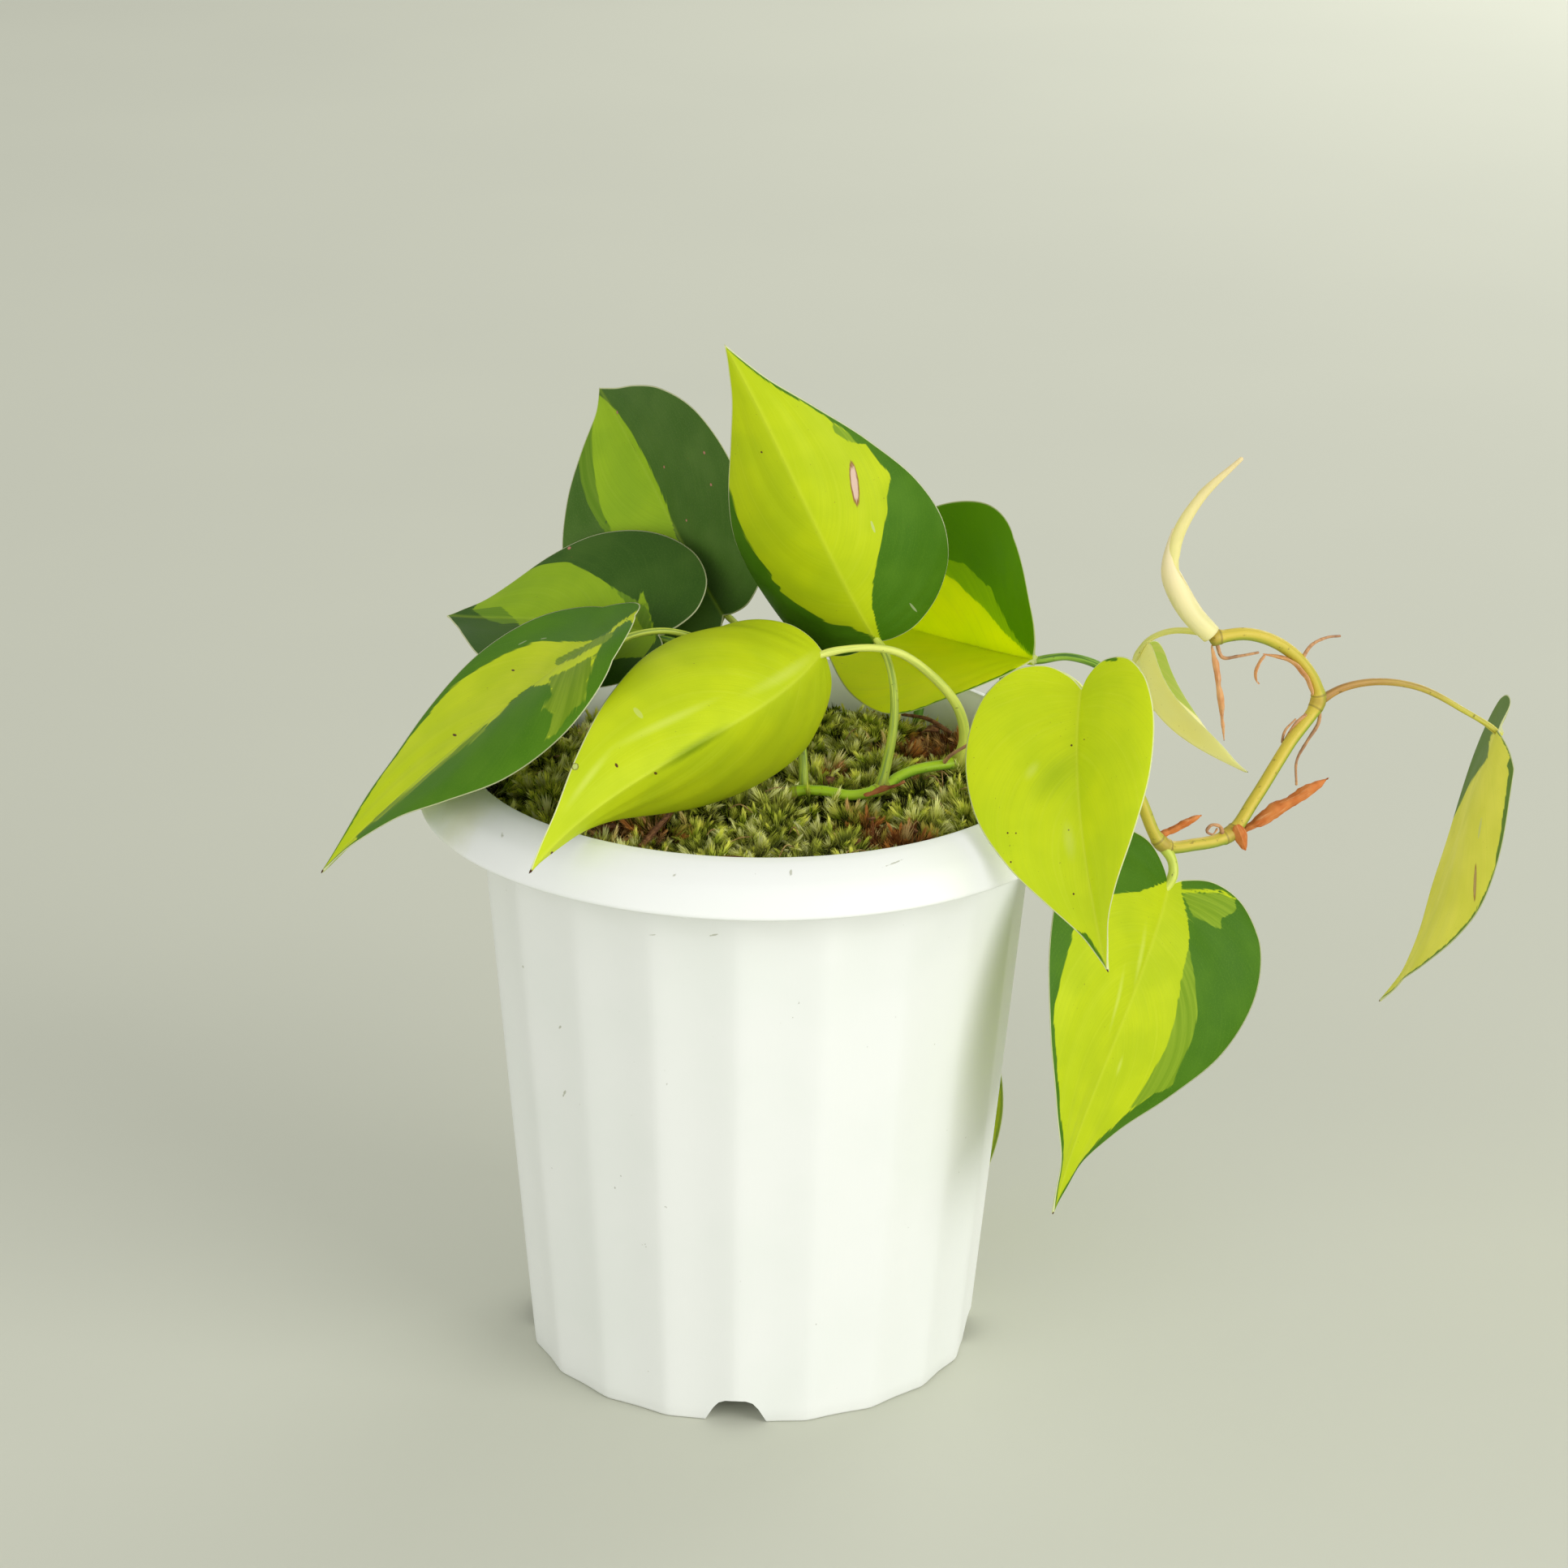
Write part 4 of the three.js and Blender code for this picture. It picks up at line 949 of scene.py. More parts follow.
# Leaves. Shape: base, tip and facing in place; width, fold and curl for the left and right half; arch and
# sway of the midrib. Paint: patches and stripes in the photograph's pixels, bands in millimetres.
usualLeaf = {
    "stalkRadius": 1.2, "slot": "leaf_variegated", "ground": "lime", "brownTip": 0, "paint": [], "marks": [],
}
leaves = {
    "leaf_front": {
        "base": (14, -13, 169.5), "tip": (-47, -69.5, 139), "facing": (0.68, -1, 0.5),
        "halfWidth": (31, 30), "fold": (-29, -22), "curl": (-33, -68),
        "arch": (0.19, 0.04), "sway": (-0.03, 0.1), "belly": 1.07, "lobe": (0.6, 0.4), "twist": -27,
        "stalk": [(45, 2, 138.8), (46, 0, 145.5), (44, -3.5, 154), (38, -6, 162), (30, -9.5, 168.5),
                  (21, -11.5, 169.8)],
        "stalkRadius": 1.3, "stalkTone": "cream", "tone": "litMild", "slot": "leaf_lime", "brownTip": 1.3,
        "marks": [
            ("ring", (708, 941), (708, 950), 0.75), ("pale", (782, 873), (792, 886), 0.6),
            ("brown", (757, 941), (760, 946), 0.3), ("brown", (806, 951), (809, 953), 0.3),
            ("brown", (678, 1049), (682, 1054), 0.35), ("brown", (668, 1071), (670, 1076), 0.5),
            ("brown", (706, 1034), (712, 1036), 0.35),
            # the fold mark is painted shade along a crease, the sheen marks painted highlights
            ("fold", (900, 894), (806, 952), 1.7), ("sheen", (884, 862), (754, 922), 1.1),
            ("sheen", (1006, 802), (916, 858), 1.5), ("sheen", (752, 924), (698, 996), 0.9),
        ],
    },
    "leaf_front_left": {
        "base": (-32, -13, 171.5), "tip": (-95.5, -21, 119), "facing": (-0.86, 0.27, 1),
        "halfWidth": (35, 34.5), "fold": (22, 6), "curl": (-68, 16),
        "arch": (0.04, 0.04), "sway": (-0.02, 0.04), "belly": 1.14, "lobe": (1, 1), "twist": -27,
        "stalk": [(2, 3, 126), (0, 2, 140), (-3, 0, 155), (-9, -3, 166), (-19, -7, 171.5), (-27, -11, 172)],
        "stalkTone": "striped", "tone": "bright", "brownTip": 1.2,
        "paint": [
            ("patch", "dark", [
                (745, 789), (711, 792), (669, 792), (648, 798), (622, 808), (597, 821), (579, 833),
                (556, 849), (540, 864), (527, 880), (508, 902), (470, 900), (540, 800), (620, 730),
                (700, 705), (790, 715), (800, 745), (762, 770),
            ]),
            ("band", "dark", 1, (0.42, 1), (1.3, 0.5)),
            ("patch", "dark", [
                (675, 845), (653, 848), (632, 864), (615, 884), (597, 897), (556, 937), (521, 960),
                (491, 988), (468, 1007), (450, 1022), (439, 1032), (470, 1060), (560, 1040), (640, 990),
                (700, 930), (671, 916), (677, 898), (682, 878), (670, 874), (681, 855), (678, 843),
            ]),
            ("band", "dark", 0, (0.6, 1), (1.2, 0.5)),
            ("patch", "dark", [
                (754, 783), (741, 799), (736, 808), (729, 828), (722, 846), (720, 861), (711, 872),
                (704, 870), (700, 878), (691, 887), (682, 902), (670, 916), (705, 940), (790, 870),
                (800, 790), (775, 765),
            ]),
            ("patch", "mid", [
                (732, 809), (678, 837), (681, 855), (670, 874), (682, 878), (677, 898), (671, 916),
                (689, 898), (709, 868), (714, 873), (719, 855), (722, 837),
            ]),
            ("stripe", "mid", [(752, 785), (688, 817)], 0.75),
            ("stripe", "mid", [(597, 900), (530, 956), (464, 1010)], 0.4),
        ],
        "marks": [
            ("white", (640, 796), (650, 792), 0.25), ("white", (668, 790), (674, 788), 0.25),
            ("brown", (560, 905), (563, 907), 0.3), ("brown", (632, 826), (634, 828), 0.25),
        ],
    },
    "leaf_left": {
        "base": (-22.2, 11, 164.4), "tip": (-72.4, 50.6, 154.7), "facing": (-0.47, -0.47, 1),
        "halfWidth": (24.5, 25), "fold": (19, 15), "curl": (-14, -5),
        "arch": (0.07, 0.05), "sway": (0.01, -0.05), "belly": 1.03, "lobe": (0.9, 1), "twist": 7,
        "stalk": [(-3, 12, 126), (-3.5, 11, 140), (-6, 10, 153), (-12, 9.5, 161)],
        "stalkTone": "green", "tone": "shaded", "ground": "dark",
        "paint": [
            ("patch", "lime", [
                (588, 744), (602, 728), (639, 709), (666, 697), (701, 694), (722, 704), (744, 716),
                (762, 728), (781, 743), (789, 744), (792, 725), (798, 744), (808, 779), (808, 790),
                (792, 811), (768, 812), (743, 817), (700, 815), (660, 800), (639, 769), (620, 768),
                (602, 763), (583, 752),
            ]),
            ("patch", "mid", [
                (754, 725), (770, 741), (784, 760), (797, 784), (806, 784), (798, 750), (789, 744),
                (770, 732),
            ]),
            ("patch", "mid", [(583, 752), (618, 748), (628, 757), (639, 768), (620, 770), (602, 765)]),
        ],
        "marks": [("pink", (702, 676), (705, 678), 0.45)],
    },
    "leaf_back_left": {
        "base": (-8, 23.5, 165), "tip": (-38, 73, 203.5), "facing": (-0.82, -1, 0.64),
        "halfWidth": (30, 29.5), "fold": (16, 27), "curl": (-18, 3),
        "arch": (0.06, 0.08), "sway": (0.01, 0.06), "belly": 0.77, "lobe": (1, 0.5), "twist": -2,
        "stalk": [(11, -10, 126), (10.5, -9.5, 137), (9.5, -5, 147), (5, 5, 156), (-1, 15, 162)],
        "stalkTone": "striped", "tone": "shadedDusky", "ground": "dark",
        "paint": [
            ("patch", "lime", [
                (739, 487), (760, 505), (778, 530), (797, 564), (813, 599), (825, 629), (832, 658),
                (870, 735), (850, 750), (790, 700), (753, 653), (743, 634), (734, 594), (732, 572),
                (730, 540), (731, 511),
            ]),
            ("patch", "mid", [
                (731, 511), (730, 540), (732, 572), (734, 594), (743, 634), (753, 653), (790, 700),
                (775, 700), (738, 645), (725, 621), (717, 594), (714, 567), (719, 530),
            ]),
        ],
        "marks": [
            ("pink", (867, 557), (870, 559), 0.35), ("pink", (875, 596), (877, 598), 0.35),
            ("pink", (819, 574), (821, 577), 0.35), ("pink", (761, 507), (763, 509), 0.4),
            ("pink", (846, 640), (848, 642), 0.3),
        ],
    },
    "leaf_top": {
        "base": (26, -2, 168), "tip": (-8, -8, 237), "facing": (0.05, -1, -0.06),
        "halfWidth": (28.5, 28.5), "fold": (-17, -13), "curl": (-53, -38),
        "arch": (0.17, 0.05), "sway": (0, 0.02), "belly": 1.09, "lobe": (0.5, 0.5), "twist": -2,
        "stalk": [(27.2, -14, 138), (28.5, -12.5, 143), (30, -10.5, 152), (29.8, -7.5, 160), (28, -4, 166)],
        "stalkTone": "striped", "tone": "lime",
        "paint": [
            ("patch", "dark", [
                (1046, 545), (1067, 547), (1083, 569), (1096, 585), (1096, 594), (1092, 610), (1093, 629),
                (1086, 660), (1080, 691), (1074, 722), (1074, 747), (1080, 772), (1086, 792), (1100, 850),
                (1220, 800), (1220, 640), (1130, 530), (1070, 515), (1046, 525),
            ]),
            ("patch", "dark", [
                (903, 610), (911, 635), (921, 660), (936, 685), (952, 707), (953, 715), (963, 722),
                (962, 727), (983, 743), (1005, 757), (1021, 766), (1046, 771), (1067, 780), (1078, 785),
                (1086, 792), (1090, 840), (960, 840), (870, 720), (870, 600), (895, 590),
            ]),
            ("band", "dark", 1, (0.5, 0.68), (1.0, 1.3)),
            ("band", "dark", 1, (0.68, 1), (0.8, 0.4)),
            ("stripe", "mid", [(1030, 528), (1048, 540)], 0.8),
        ],
        "marks": [
            ("scar", (1049, 569), (1056, 624), 1.05), ("white", (1119, 742), (1129, 753), 0.25),
            ("white", (1071, 640), (1077, 656), 0.3), ("brown", (938, 556), (940, 558), 0.25),
        ],
    },
    "leaf_back_right": {
        "base": (61.5, 13.5, 159), "tip": (13, 74.5, 150), "facing": (-1, -0.67, 0.8),
        "halfWidth": (34, 34.5), "fold": (58, 47), "curl": (-33, -22),
        "arch": (-0.06, 0.09), "sway": (0, 0), "belly": 1.09, "lobe": (0.8, 0.7), "twist": 7,
        "stalk": [(72, 2, 149.2), (76.5, 4.5, 150), (80, 8, 153), (77.5, 11.5, 157.5), (69.5, 13.5, 159.8)],
        "stalkRadius": 1.25, "stalkTone": "green", "tone": "backlit",
        "paint": [
            ("patch", "mid", [
                (1060, 665), (1120, 685), (1166, 708), (1180, 716), (1211, 747), (1242, 782), (1271, 808),
                (1310, 800), (1300, 700), (1240, 580), (1150, 580), (1060, 600),
            ]),
            ("patch", "dark", [
                (1060, 650), (1120, 665), (1167, 688), (1192, 696), (1217, 722), (1222, 721), (1228, 738),
                (1239, 763), (1252, 785), (1272, 806), (1310, 800), (1300, 700), (1240, 580), (1150, 580),
                (1060, 600),
            ]),
            ("band", "dark", 0, (0.12, 0.42), (0.9, 0.6)),
        ],
    },
    "leaf_front_right": {
        "base": (69, -42, 172), "tip": (74.5, -75.5, 121), "facing": (-1, -0.96, 0.53),
        "halfWidth": (23.5, 26), "fold": (25, 16), "curl": (-36, 4),
        "arch": (0.08, 0.06), "sway": (0.03, 0), "belly": 1.09, "lobe": (0.8, 0.9), "twist": 1,
        "stalk": [(50, 4, 140.4), (50, 1, 147), (53, -7, 156), (59, -20, 166), (65, -33, 172)],
        "stalkRadius": 1.3, "stalkTone": "cream", "tone": "bright", "slot": "leaf_lime", "brownTip": 0.9,
        "paint": [
            ("band", "dark", 1, (0.8, 1), (1.5, 0.5)),
            ("stripe", "dark", [(1351, 811), (1373, 811)], 0.6),
        ],
        "marks": [
            ("brown", (1320, 918), (1321, 919), 0.25), ("brown", (1337, 911), (1338, 912), 0.16),
            ("brown", (1317, 1022), (1318, 1023), 0.2), ("brown", (1242, 1026), (1243, 1027), 0.2),
            ("brown", (1323, 1101), (1324, 1102), 0.24), ("brown", (1252, 1026), (1253, 1027), 0.18),
            # the crease mark is painted shade in a hollow, the sheen marks painted highlights
            ("brown", (1246, 1062), (1247, 1063), 0.2), ("sheen", (1264, 962), (1280, 938), 1.3),
            ("crease", (1330, 926), (1266, 988), 3.6), ("sheen", (1314, 1010), (1322, 1060), 1.5),
        ],
    },
    "leaf_hanging": {
        "base": (92, -8.5, 114), "tip": (66.5, -47, 51), "facing": (0.6, -1, 0.36),
        "halfWidth": (31.5, 30), "fold": (2, 14), "curl": (5, -30),
        "arch": (0.11, 0.03), "sway": (0.03, 0.06), "belly": 1.13, "lobe": (0.8, 0.8), "twist": -28,
        "stalk": [(90.5, -6, 122.8), (92.8, -6.5, 119), (93, -7.5, 116)],
        "stalkTone": "cream", "tone": "lime", "brownTip": 0.8,
        "paint": [
            ("patch", "dark", [
                (1439, 1085), (1426, 1090), (1403, 1099), (1366, 1103), (1340, 1125), (1322, 1144),
                (1308, 1194), (1303, 1222), (1297, 1245), (1299, 1286), (1303, 1345), (1306, 1381),
                (1307, 1408), (1303, 1444), (1290, 1510), (1260, 1400), (1250, 1150), (1340, 1000),
                (1440, 1010),
            ]),
            ("patch", "dark", [
                (1455, 1098), (1464, 1139), (1464, 1167), (1471, 1203), (1475, 1245), (1469, 1277),
                (1450, 1318), (1441, 1339), (1418, 1348), (1386, 1373), (1354, 1405), (1322, 1451),
                (1303, 1488), (1310, 1520), (1420, 1430), (1600, 1300), (1610, 1150), (1550, 1060),
                (1456, 1060),
            ]),
            ("patch", "mid", [
                (1464, 1167), (1457, 1194), (1448, 1249), (1436, 1291), (1409, 1337), (1386, 1373),
                (1418, 1348), (1441, 1339), (1450, 1318), (1469, 1277), (1475, 1245), (1471, 1203),
            ]),
            ("patch", "mid", [
                (1456, 1101), (1515, 1103), (1522, 1123), (1502, 1133), (1505, 1146), (1469, 1129),
            ]),
            ("stripe", "lime", [(1456, 1098), (1502, 1099), (1519, 1109)], 0.35),
            ("band", "dark", 1, (0.25, 0.99), (1.5, 0.8)), ("band", "dark", 0, (0.7, 0.99), (1.5, 0.8)),
        ],
        "marks": [
            # the sheen marks are painted highlights
            ("sheen", (1410, 1140), (1396, 1215), 1.0), ("sheen", (1384, 1190), (1366, 1270), 0.8),
            ("sheen", (1382, 1300), (1374, 1326), 0.6),
        ],
    },
    "leaf_far_right": {
        "base": (170, 36, 135.5), "tip": (146.5, 37, 67), "facing": (-1, 0.21, 0.34),
        "halfWidth": (29, 28), "fold": (5, -3), "curl": (-44, 12),
        "arch": (0.01, -0.12), "sway": (0, -0.02), "belly": 0.95, "lobe": (0.3, 0.62), "twist": -7,
        "stalk": [(126.6, 22, 147), (132.5, 25, 149.3), (140.5, 28, 149.8), (150, 30.5, 147.8),
                  (160, 33.5, 142)],
        "stalkRadius": 0.95, "stalkTone": "amber", "tone": "yellow", "brownTip": 0.7,
        "paint": [
            ("patch", "dark", [
                (1900, 850), (1856, 892), (1838, 906), (1834, 934), (1815, 961), (1797, 993), (1785, 1013),
                (1750, 1030), (1760, 950), (1800, 890), (1850, 820),
            ]),
            ("band", "dark", 0, (0.04, 0.3), (0.35, 0.5)),
            ("band", "dark", 0, (0.28, 0.46), (2.3, 1.2)),
            ("band", "dark", 0, (0.46, 1), (0.75, 0.5)),
        ],
        "marks": [("white", (1828, 1008), (1824, 1034), 0.5), ("tan", (1820, 1066), (1817, 1110), 0.6)],
    },
    "leaf_young": {
        "base": (86, 26.5, 155), "tip": (111, 15.5, 132), "facing": (0.95, 0.08, 1),
        "halfWidth": (11.5, 11.5), "fold": (41, 42), "curl": (-15, -24),
        "arch": (-0.27, -0.1), "sway": (0.01, 0.01), "belly": 0.91, "lobe": (1, 1), "twist": -13,
        "stalk": [(102.5, 16, 164.2), (98, 18, 164.6), (92.5, 20, 164), (87.5, 23.5, 160.3)],
        "stalkRadius": 0.8, "stalkTone": "tender", "tone": "young", "slot": "leaf_young", "brownTip": 0.4,
        "paint": [("band", "mid", 0, (0.0, 0.3), (14, 14)), ("band", "mid", 0, (0.27, 0.6), (11.5, 0.2))],
    },
    "leaf_behind_pot": {
        "base": (46, 43, 63), "tip": (52, 37, 8), "facing": (0.6, 0.8, 0.1),
        "halfWidth": (17, 17), "fold": (-10, -10), "curl": (-20, -20),
        "arch": (0.08, 0.05), "sway": (0, 0), "belly": 1, "lobe": (0.9, 0.9), "twist": 0,
        "stalk": [(36, 42, 126), (38, 45, 140), (43, 51, 147), (51, 60, 147.5), (57, 67, 138), (56, 65, 118),
                  (51, 56, 95), (46.5, 46, 74)],
        "stalkTone": "green", "tone": "lime", "brownTip": 0.5,
        "paint": [("band", "dark", 0, (0.05, 0.9), (5.0, 1.0)), ("band", "mid", 1, (0.1, 0.8), (2.0, 0.8))],
    },
}
ridgeShares = (0.02, 0.08, 0.15, 0.23, 0.32)
stalk = {"sides": 14, "spacing": 0.9, "endRadius": 0.42, "knee": 0.3, "kneeReach": 2.5, "drop": 1.0}
smallBlade = {"under": 20, "rows": 64, "columns": 18, "relief": 0.4, "ridge": 0.5}


def stalkMesh(leaf, rib):
    # from where it grows to the notch, and on under the blade as its raised midrib
    places = np.array(ridgeShares) * rib.length
    centre, up, _ = rib.frame(places)
    ridge = centre + up * (np.array(ridgeShares) - stalk["drop"])[:, None]
    path, travelled = routeCurve([*leaf["stalk"], *ridge], stalk["spacing"])
    share = travelled / travelled[-1]
    radii = lerp(leaf["stalkRadius"], stalk["endRadius"], share)
    toBlade = travelled[-1] - ridgeShares[-1] * rib.length
    swelling = np.exp(-(travelled / stalk["kneeReach"]) ** 2)
    swelling = swelling + 0.6 * np.exp(-((travelled - toBlade + 1.5) / stalk["kneeReach"]) ** 2)
    return tube(path, radii + stalk["knee"] * swelling, stalk["sides"])


def placeMarks(sheet, marks):
    placed = []
    for kind, start, end, breadth in marks:
        a, b = sheet.locate(start), sheet.locate(end)
        reach = max(np.linalg.norm(b - a) / 2, breadth)
        turn = math.atan2(b[1] - a[1], b[0] - a[0])
        placed.append((kind, tuple((a + b) / 2), turn, reach, breadth))
    return placed


def makeLeaf(name, leaf):
    rows, columns, relief, ridge = blade["rows"], blade["columns"], 1.0, blade["ridge"]
    if min(leaf["halfWidth"]) < smallBlade["under"]:
        rows, columns, relief = smallBlade["rows"], smallBlade["columns"], smallBlade["relief"]
        ridge = ridge * smallBlade["ridge"]
    sheet = Sheet(leaf, rows, columns)
    points, faces = sheet.shell(blade["thickness"], sheet.relief(relief), ridge)
    flat = np.c_[sheet.spread(sheet.flat), sheet.underside()]
    whole = Gather()
    whole.add(points, faces, 0, flat=flat, vein=sheet.spread(sheet.vein), cover=sheet.spread(markings(sheet)))
    points, faces, run = stalkMesh(leaf, sheet.rib)
    whole.add(points, faces, 1, run=run)
    tipBrown = (sheet.rib.length, leaf["brownTip"]) if leaf["brownTip"] else None
    finish = bladeFinish(name + "_blade", tones[leaf["tone"]], placeMarks(sheet, leaf["marks"]), tipBrown)
    stem = stalkFinish(name + "_stalk", stalkTones[leaf["stalkTone"]])
    whole.piece(name + "_grown", [finish, stem], [name])


for leafName, leafShape in leaves.items():
    makeLeaf(leafName, {**usualLeaf, **leafShape})
print("leaves grown:", len(leaves))


# Vine: the trailing stem, swollen and ringed where its leaves grow
vine = {
    "nodes": {
        "rooted": (7.7, -13.6, 136.5), "topLeaf": (27.2, -14, 138), "frontLeaf": (45, 2, 138.8),
        "frontRightLeaf": (50, 4, 140.4), "backRightLeaf": (72, 2, 149.2), "hanging": (90.5, -6, 122.8),
        "bend": (106.3, 4, 121.5), "farRight": (126.6, 22, 147), "tip": (101.4, 15, 164.2),
    },
    "rootedRadius": 1.15,
    "radius": 1.45,
    "swelling": 0.4,
    "ring": 0.16,
    "ringAt": 1.7,
    "lightFrom": (-0.55, -0.3, 0.8),
    "sides": 20,
    "spacing": 0.6,
}


def vinePath():
    node = vine["nodes"]
    return [
        (0, -10, 120), (3, -12.5, 130), node["rooted"], (14, -15.5, 138), (21, -17.5, 137.8), node["topLeaf"],
        (31.3, -9, 139), (35.6, -4, 139), node["frontLeaf"], node["frontRightLeaf"], (62, 4, 146.5),
        node["backRightLeaf"], (79, -2, 146.5), (85.2, -6, 133.4), node["hanging"], (98, -1.5, 121),
        node["bend"], (112, 9, 128), (120, 16.5, 138.8), node["farRight"], (125.8, 22, 151.1),
        (121.6, 21, 157.4), (115.5, 19, 162.3), (109, 17, 164.6), node["tip"],
    ]


def vineFinish():
    f = Finish("vineSkin")
    wrapped, _ = f.aroundBar(0.02)
    knot, old, litSide = f.split(f.layer("growth"))
    stripes = f.noise(wrapped, 1.5, 2.0, 0.6)
    flecks = f.noise(f.place(), 700.0, 3.0, 0.6)
    colour = f.mix(old, (216, 194, 72), (170, 206, 34))
    colour = f.veil(colour, (140, 166, 50), stripes, 0.5, 0.66, 0.35)
    # the side turned from the light is painted darker green: painted shade
    colour = f.veil(colour, (104, 152, 40), litSide, 0.4, -0.6, 0.75)
    colour = f.veil(colour, (164, 128, 60), knot, 2.2, 0.4, 0.45)
    fromRing = f.calc("ABSOLUTE", f.calc("SUBTRACT", knot, vine["ringAt"]))
    colour = f.veil(colour, (116, 92, 48), fromRing, 0.4, 0.1, 0.5)
    colour = f.veil(colour, (112, 92, 48), flecks, 0.62, 0.7, 0.55)
    normal = f.bump(f.calc("ADD", stripes, flecks), 0.14, 0.5)
    return f.surface(colour, normal, f.ease(flecks, 0.3, 0.7, 0.4, 0.55), 0.45, 1.45, 0.1)


def makeVine():
    # its layer holds the distance to the nearest node, youth, and how far a side faces the lamp direction
    # given;
    # the side turned away is painted a darker green, as painted shade
    path, travelled = routeCurve(vinePath(), vine["spacing"])
    share = travelled / travelled[-1]
    joints = np.array(list(vine["nodes"].values()), float)
    away = np.linalg.norm(path[:, None] - joints[None], axis=-1).min(axis=1)
    radii = lerp(vine["rootedRadius"], vine["radius"], smooth(share, 0.2, 0.7))
    radii = radii + vine["swelling"] * np.exp(-(away / 2) ** 2)
    radii = radii + vine["ring"] * np.exp(-((away - vine["ringAt"]) / 0.35) ** 2)
    sides = vine["sides"]
    points, faces, run = tube(path, radii, sides)
    growth = np.zeros((len(points), 3))
    growth[:-2, 0] = np.repeat(away, sides)
    growth[:-2, 1] = np.repeat(1 - smooth(share, 0.3, 0.6), sides)
    growth[:-2, 2] = unit(points[:-2] - np.repeat(path, sides, axis=0)) @ unit(np.array(vine["lightFrom"]))
    onePiece("vine", points, faces, vineFinish(), "stem", ["main_stem"], run=run, growth=growth)


makeVine()
print("vine grown")


# Shoot: the next leaf still rolled up, held by a pale sheath
shoot = {
    "leafPath": [(101, 14, 165.4), (96.6, 14, 170), (93.5, 14, 175), (91.8, 14, 181), (92.4, 14, 188),
                 (97, 14, 197), (106, 14, 206.5)],
    "leafRadius": (0.35, 1.1),          # at its ends, and how much more it swells between them
    "leafSides": 24,
    "lap": 0.14,
    "wrapTurns": 1.6,
    "sheathPath": [(101, 14, 165.4), (96.6, 14, 170), (93.5, 14, 175), (91.4, 14, 181), (91, 14, 186.5),
                   (91.6, 14, 190)],
    "sheathRadius": (1.1, 1.6),
    "sheathPoint": 0.35,
    "sheathColumns": 25,
    "wall": 0.3,
    "opening": 0.5,
    "spacing": 0.7,
}


def softFinish(name, low, high, through, streakScale):
    f = Finish(name)
    wrapped, share = f.aroundBar(0.05)
    stripes = f.noise(wrapped, streakScale, 2.0, 0.6)
    colour = f.mix(share, low, high)
    colour = f.veil(colour, (222, 226, 136), stripes, 0.45, 0.65, 0.2)
    roughness = f.ease(stripes, 0.3, 0.7, 0.4, 0.52)
    return f.surface(colour, f.bump(stripes, 0.12, 0.5), roughness, 0.4, through=through)


def makeRolledLeaf():
    path, travelled = routeCurve(shoot["leafPath"], shoot["spacing"])
    share = travelled / travelled[-1]
    sides = shoot["leafSides"]
    turn = np.arange(sides) * 2 * math.pi / sides
    thin, swell = shoot["leafRadius"]
    radii = thin + swell * np.sin(math.pi * (0.1 + 0.85 * share)) ** 1.2
    wrap = np.mod(turn[None] / (2 * math.pi) - share[:, None] * shoot["wrapTurns"], 1)
    lap = shoot["lap"] * (wrap - 0.5) * smooth(share, 0, 0.2)[:, None]
    points, faces, run = tube(path, radii[:, None] * (1 + lap), sides)
    finish = softFinish("rolledLeafSkin", (250, 250, 160), (246, 230, 182), 0.3, 2.4)
    onePiece("leaf_rolled", points, faces, finish, "leaf_young", ["rolled_leaf"], run=run)


def makeShootSheath():
    # a boat-shaped wrap that opens towards its point
    path, travelled = routeCurve(shoot["sheathPath"], shoot["spacing"])
    share = travelled / travelled[-1]
    thin, swell = shoot["sheathRadius"]
    radius = thin + swell * np.sin(math.pi * (0.26 + 0.44 * share))
    radius = lerp(radius, shoot["sheathPoint"], smooth(share, 0.55, 1.0))
    closed = math.pi * (1 - shoot["opening"] * smooth(share, 0.15, 1.0))
    tangents = unit(np.gradient(path, axis=0))
    back = unit(np.cross(tangents, np.array([0, 1.0, 0])))
    side = np.cross(tangents, back)
    turn = closed[:, None] * np.linspace(-1, 1, shoot["sheathColumns"])[None]
    ring = back[:, None] * np.cos(turn)[..., None] + side[:, None] * np.sin(turn)[..., None]
    walls = [path[:, None] + ring * (radius[:, None] - inset)[..., None] for inset in (0.0, shoot["wall"])]
    rows, width = turn.shape
    outer = np.arange(rows * width).reshape(rows, width)
    faces = gridQuads(outer, False) + gridQuads(outer + rows * width, True)
    rim = np.r_[outer[0, :], outer[1:, -1], outer[-1, -2::-1], outer[-2:0:-1, 0]].tolist()
    for a, b in zip(rim, rim[1:] + rim[:1]):
        faces.append([b, a, a + rows * width, b + rows * width])
    run = np.zeros((rows, width, 3))
    run[..., 0], run[..., 1], run[..., 2] = travelled[:, None], turn, share[:, None]
    points = np.vstack([wall.reshape(-1, 3) for wall in walls])
    finish = softFinish("sheathSkin", (255, 250, 196), (255, 244, 214), 0.4, 1.6)
    run = np.vstack([run.reshape(-1, 3)] * 2)
    recalculate(onePiece("shoot_wrap", points, faces, finish, "shoot", ["shoot_sheath"], run=run))


makeRolledLeaf()
makeShootSheath()
print("shoot made")


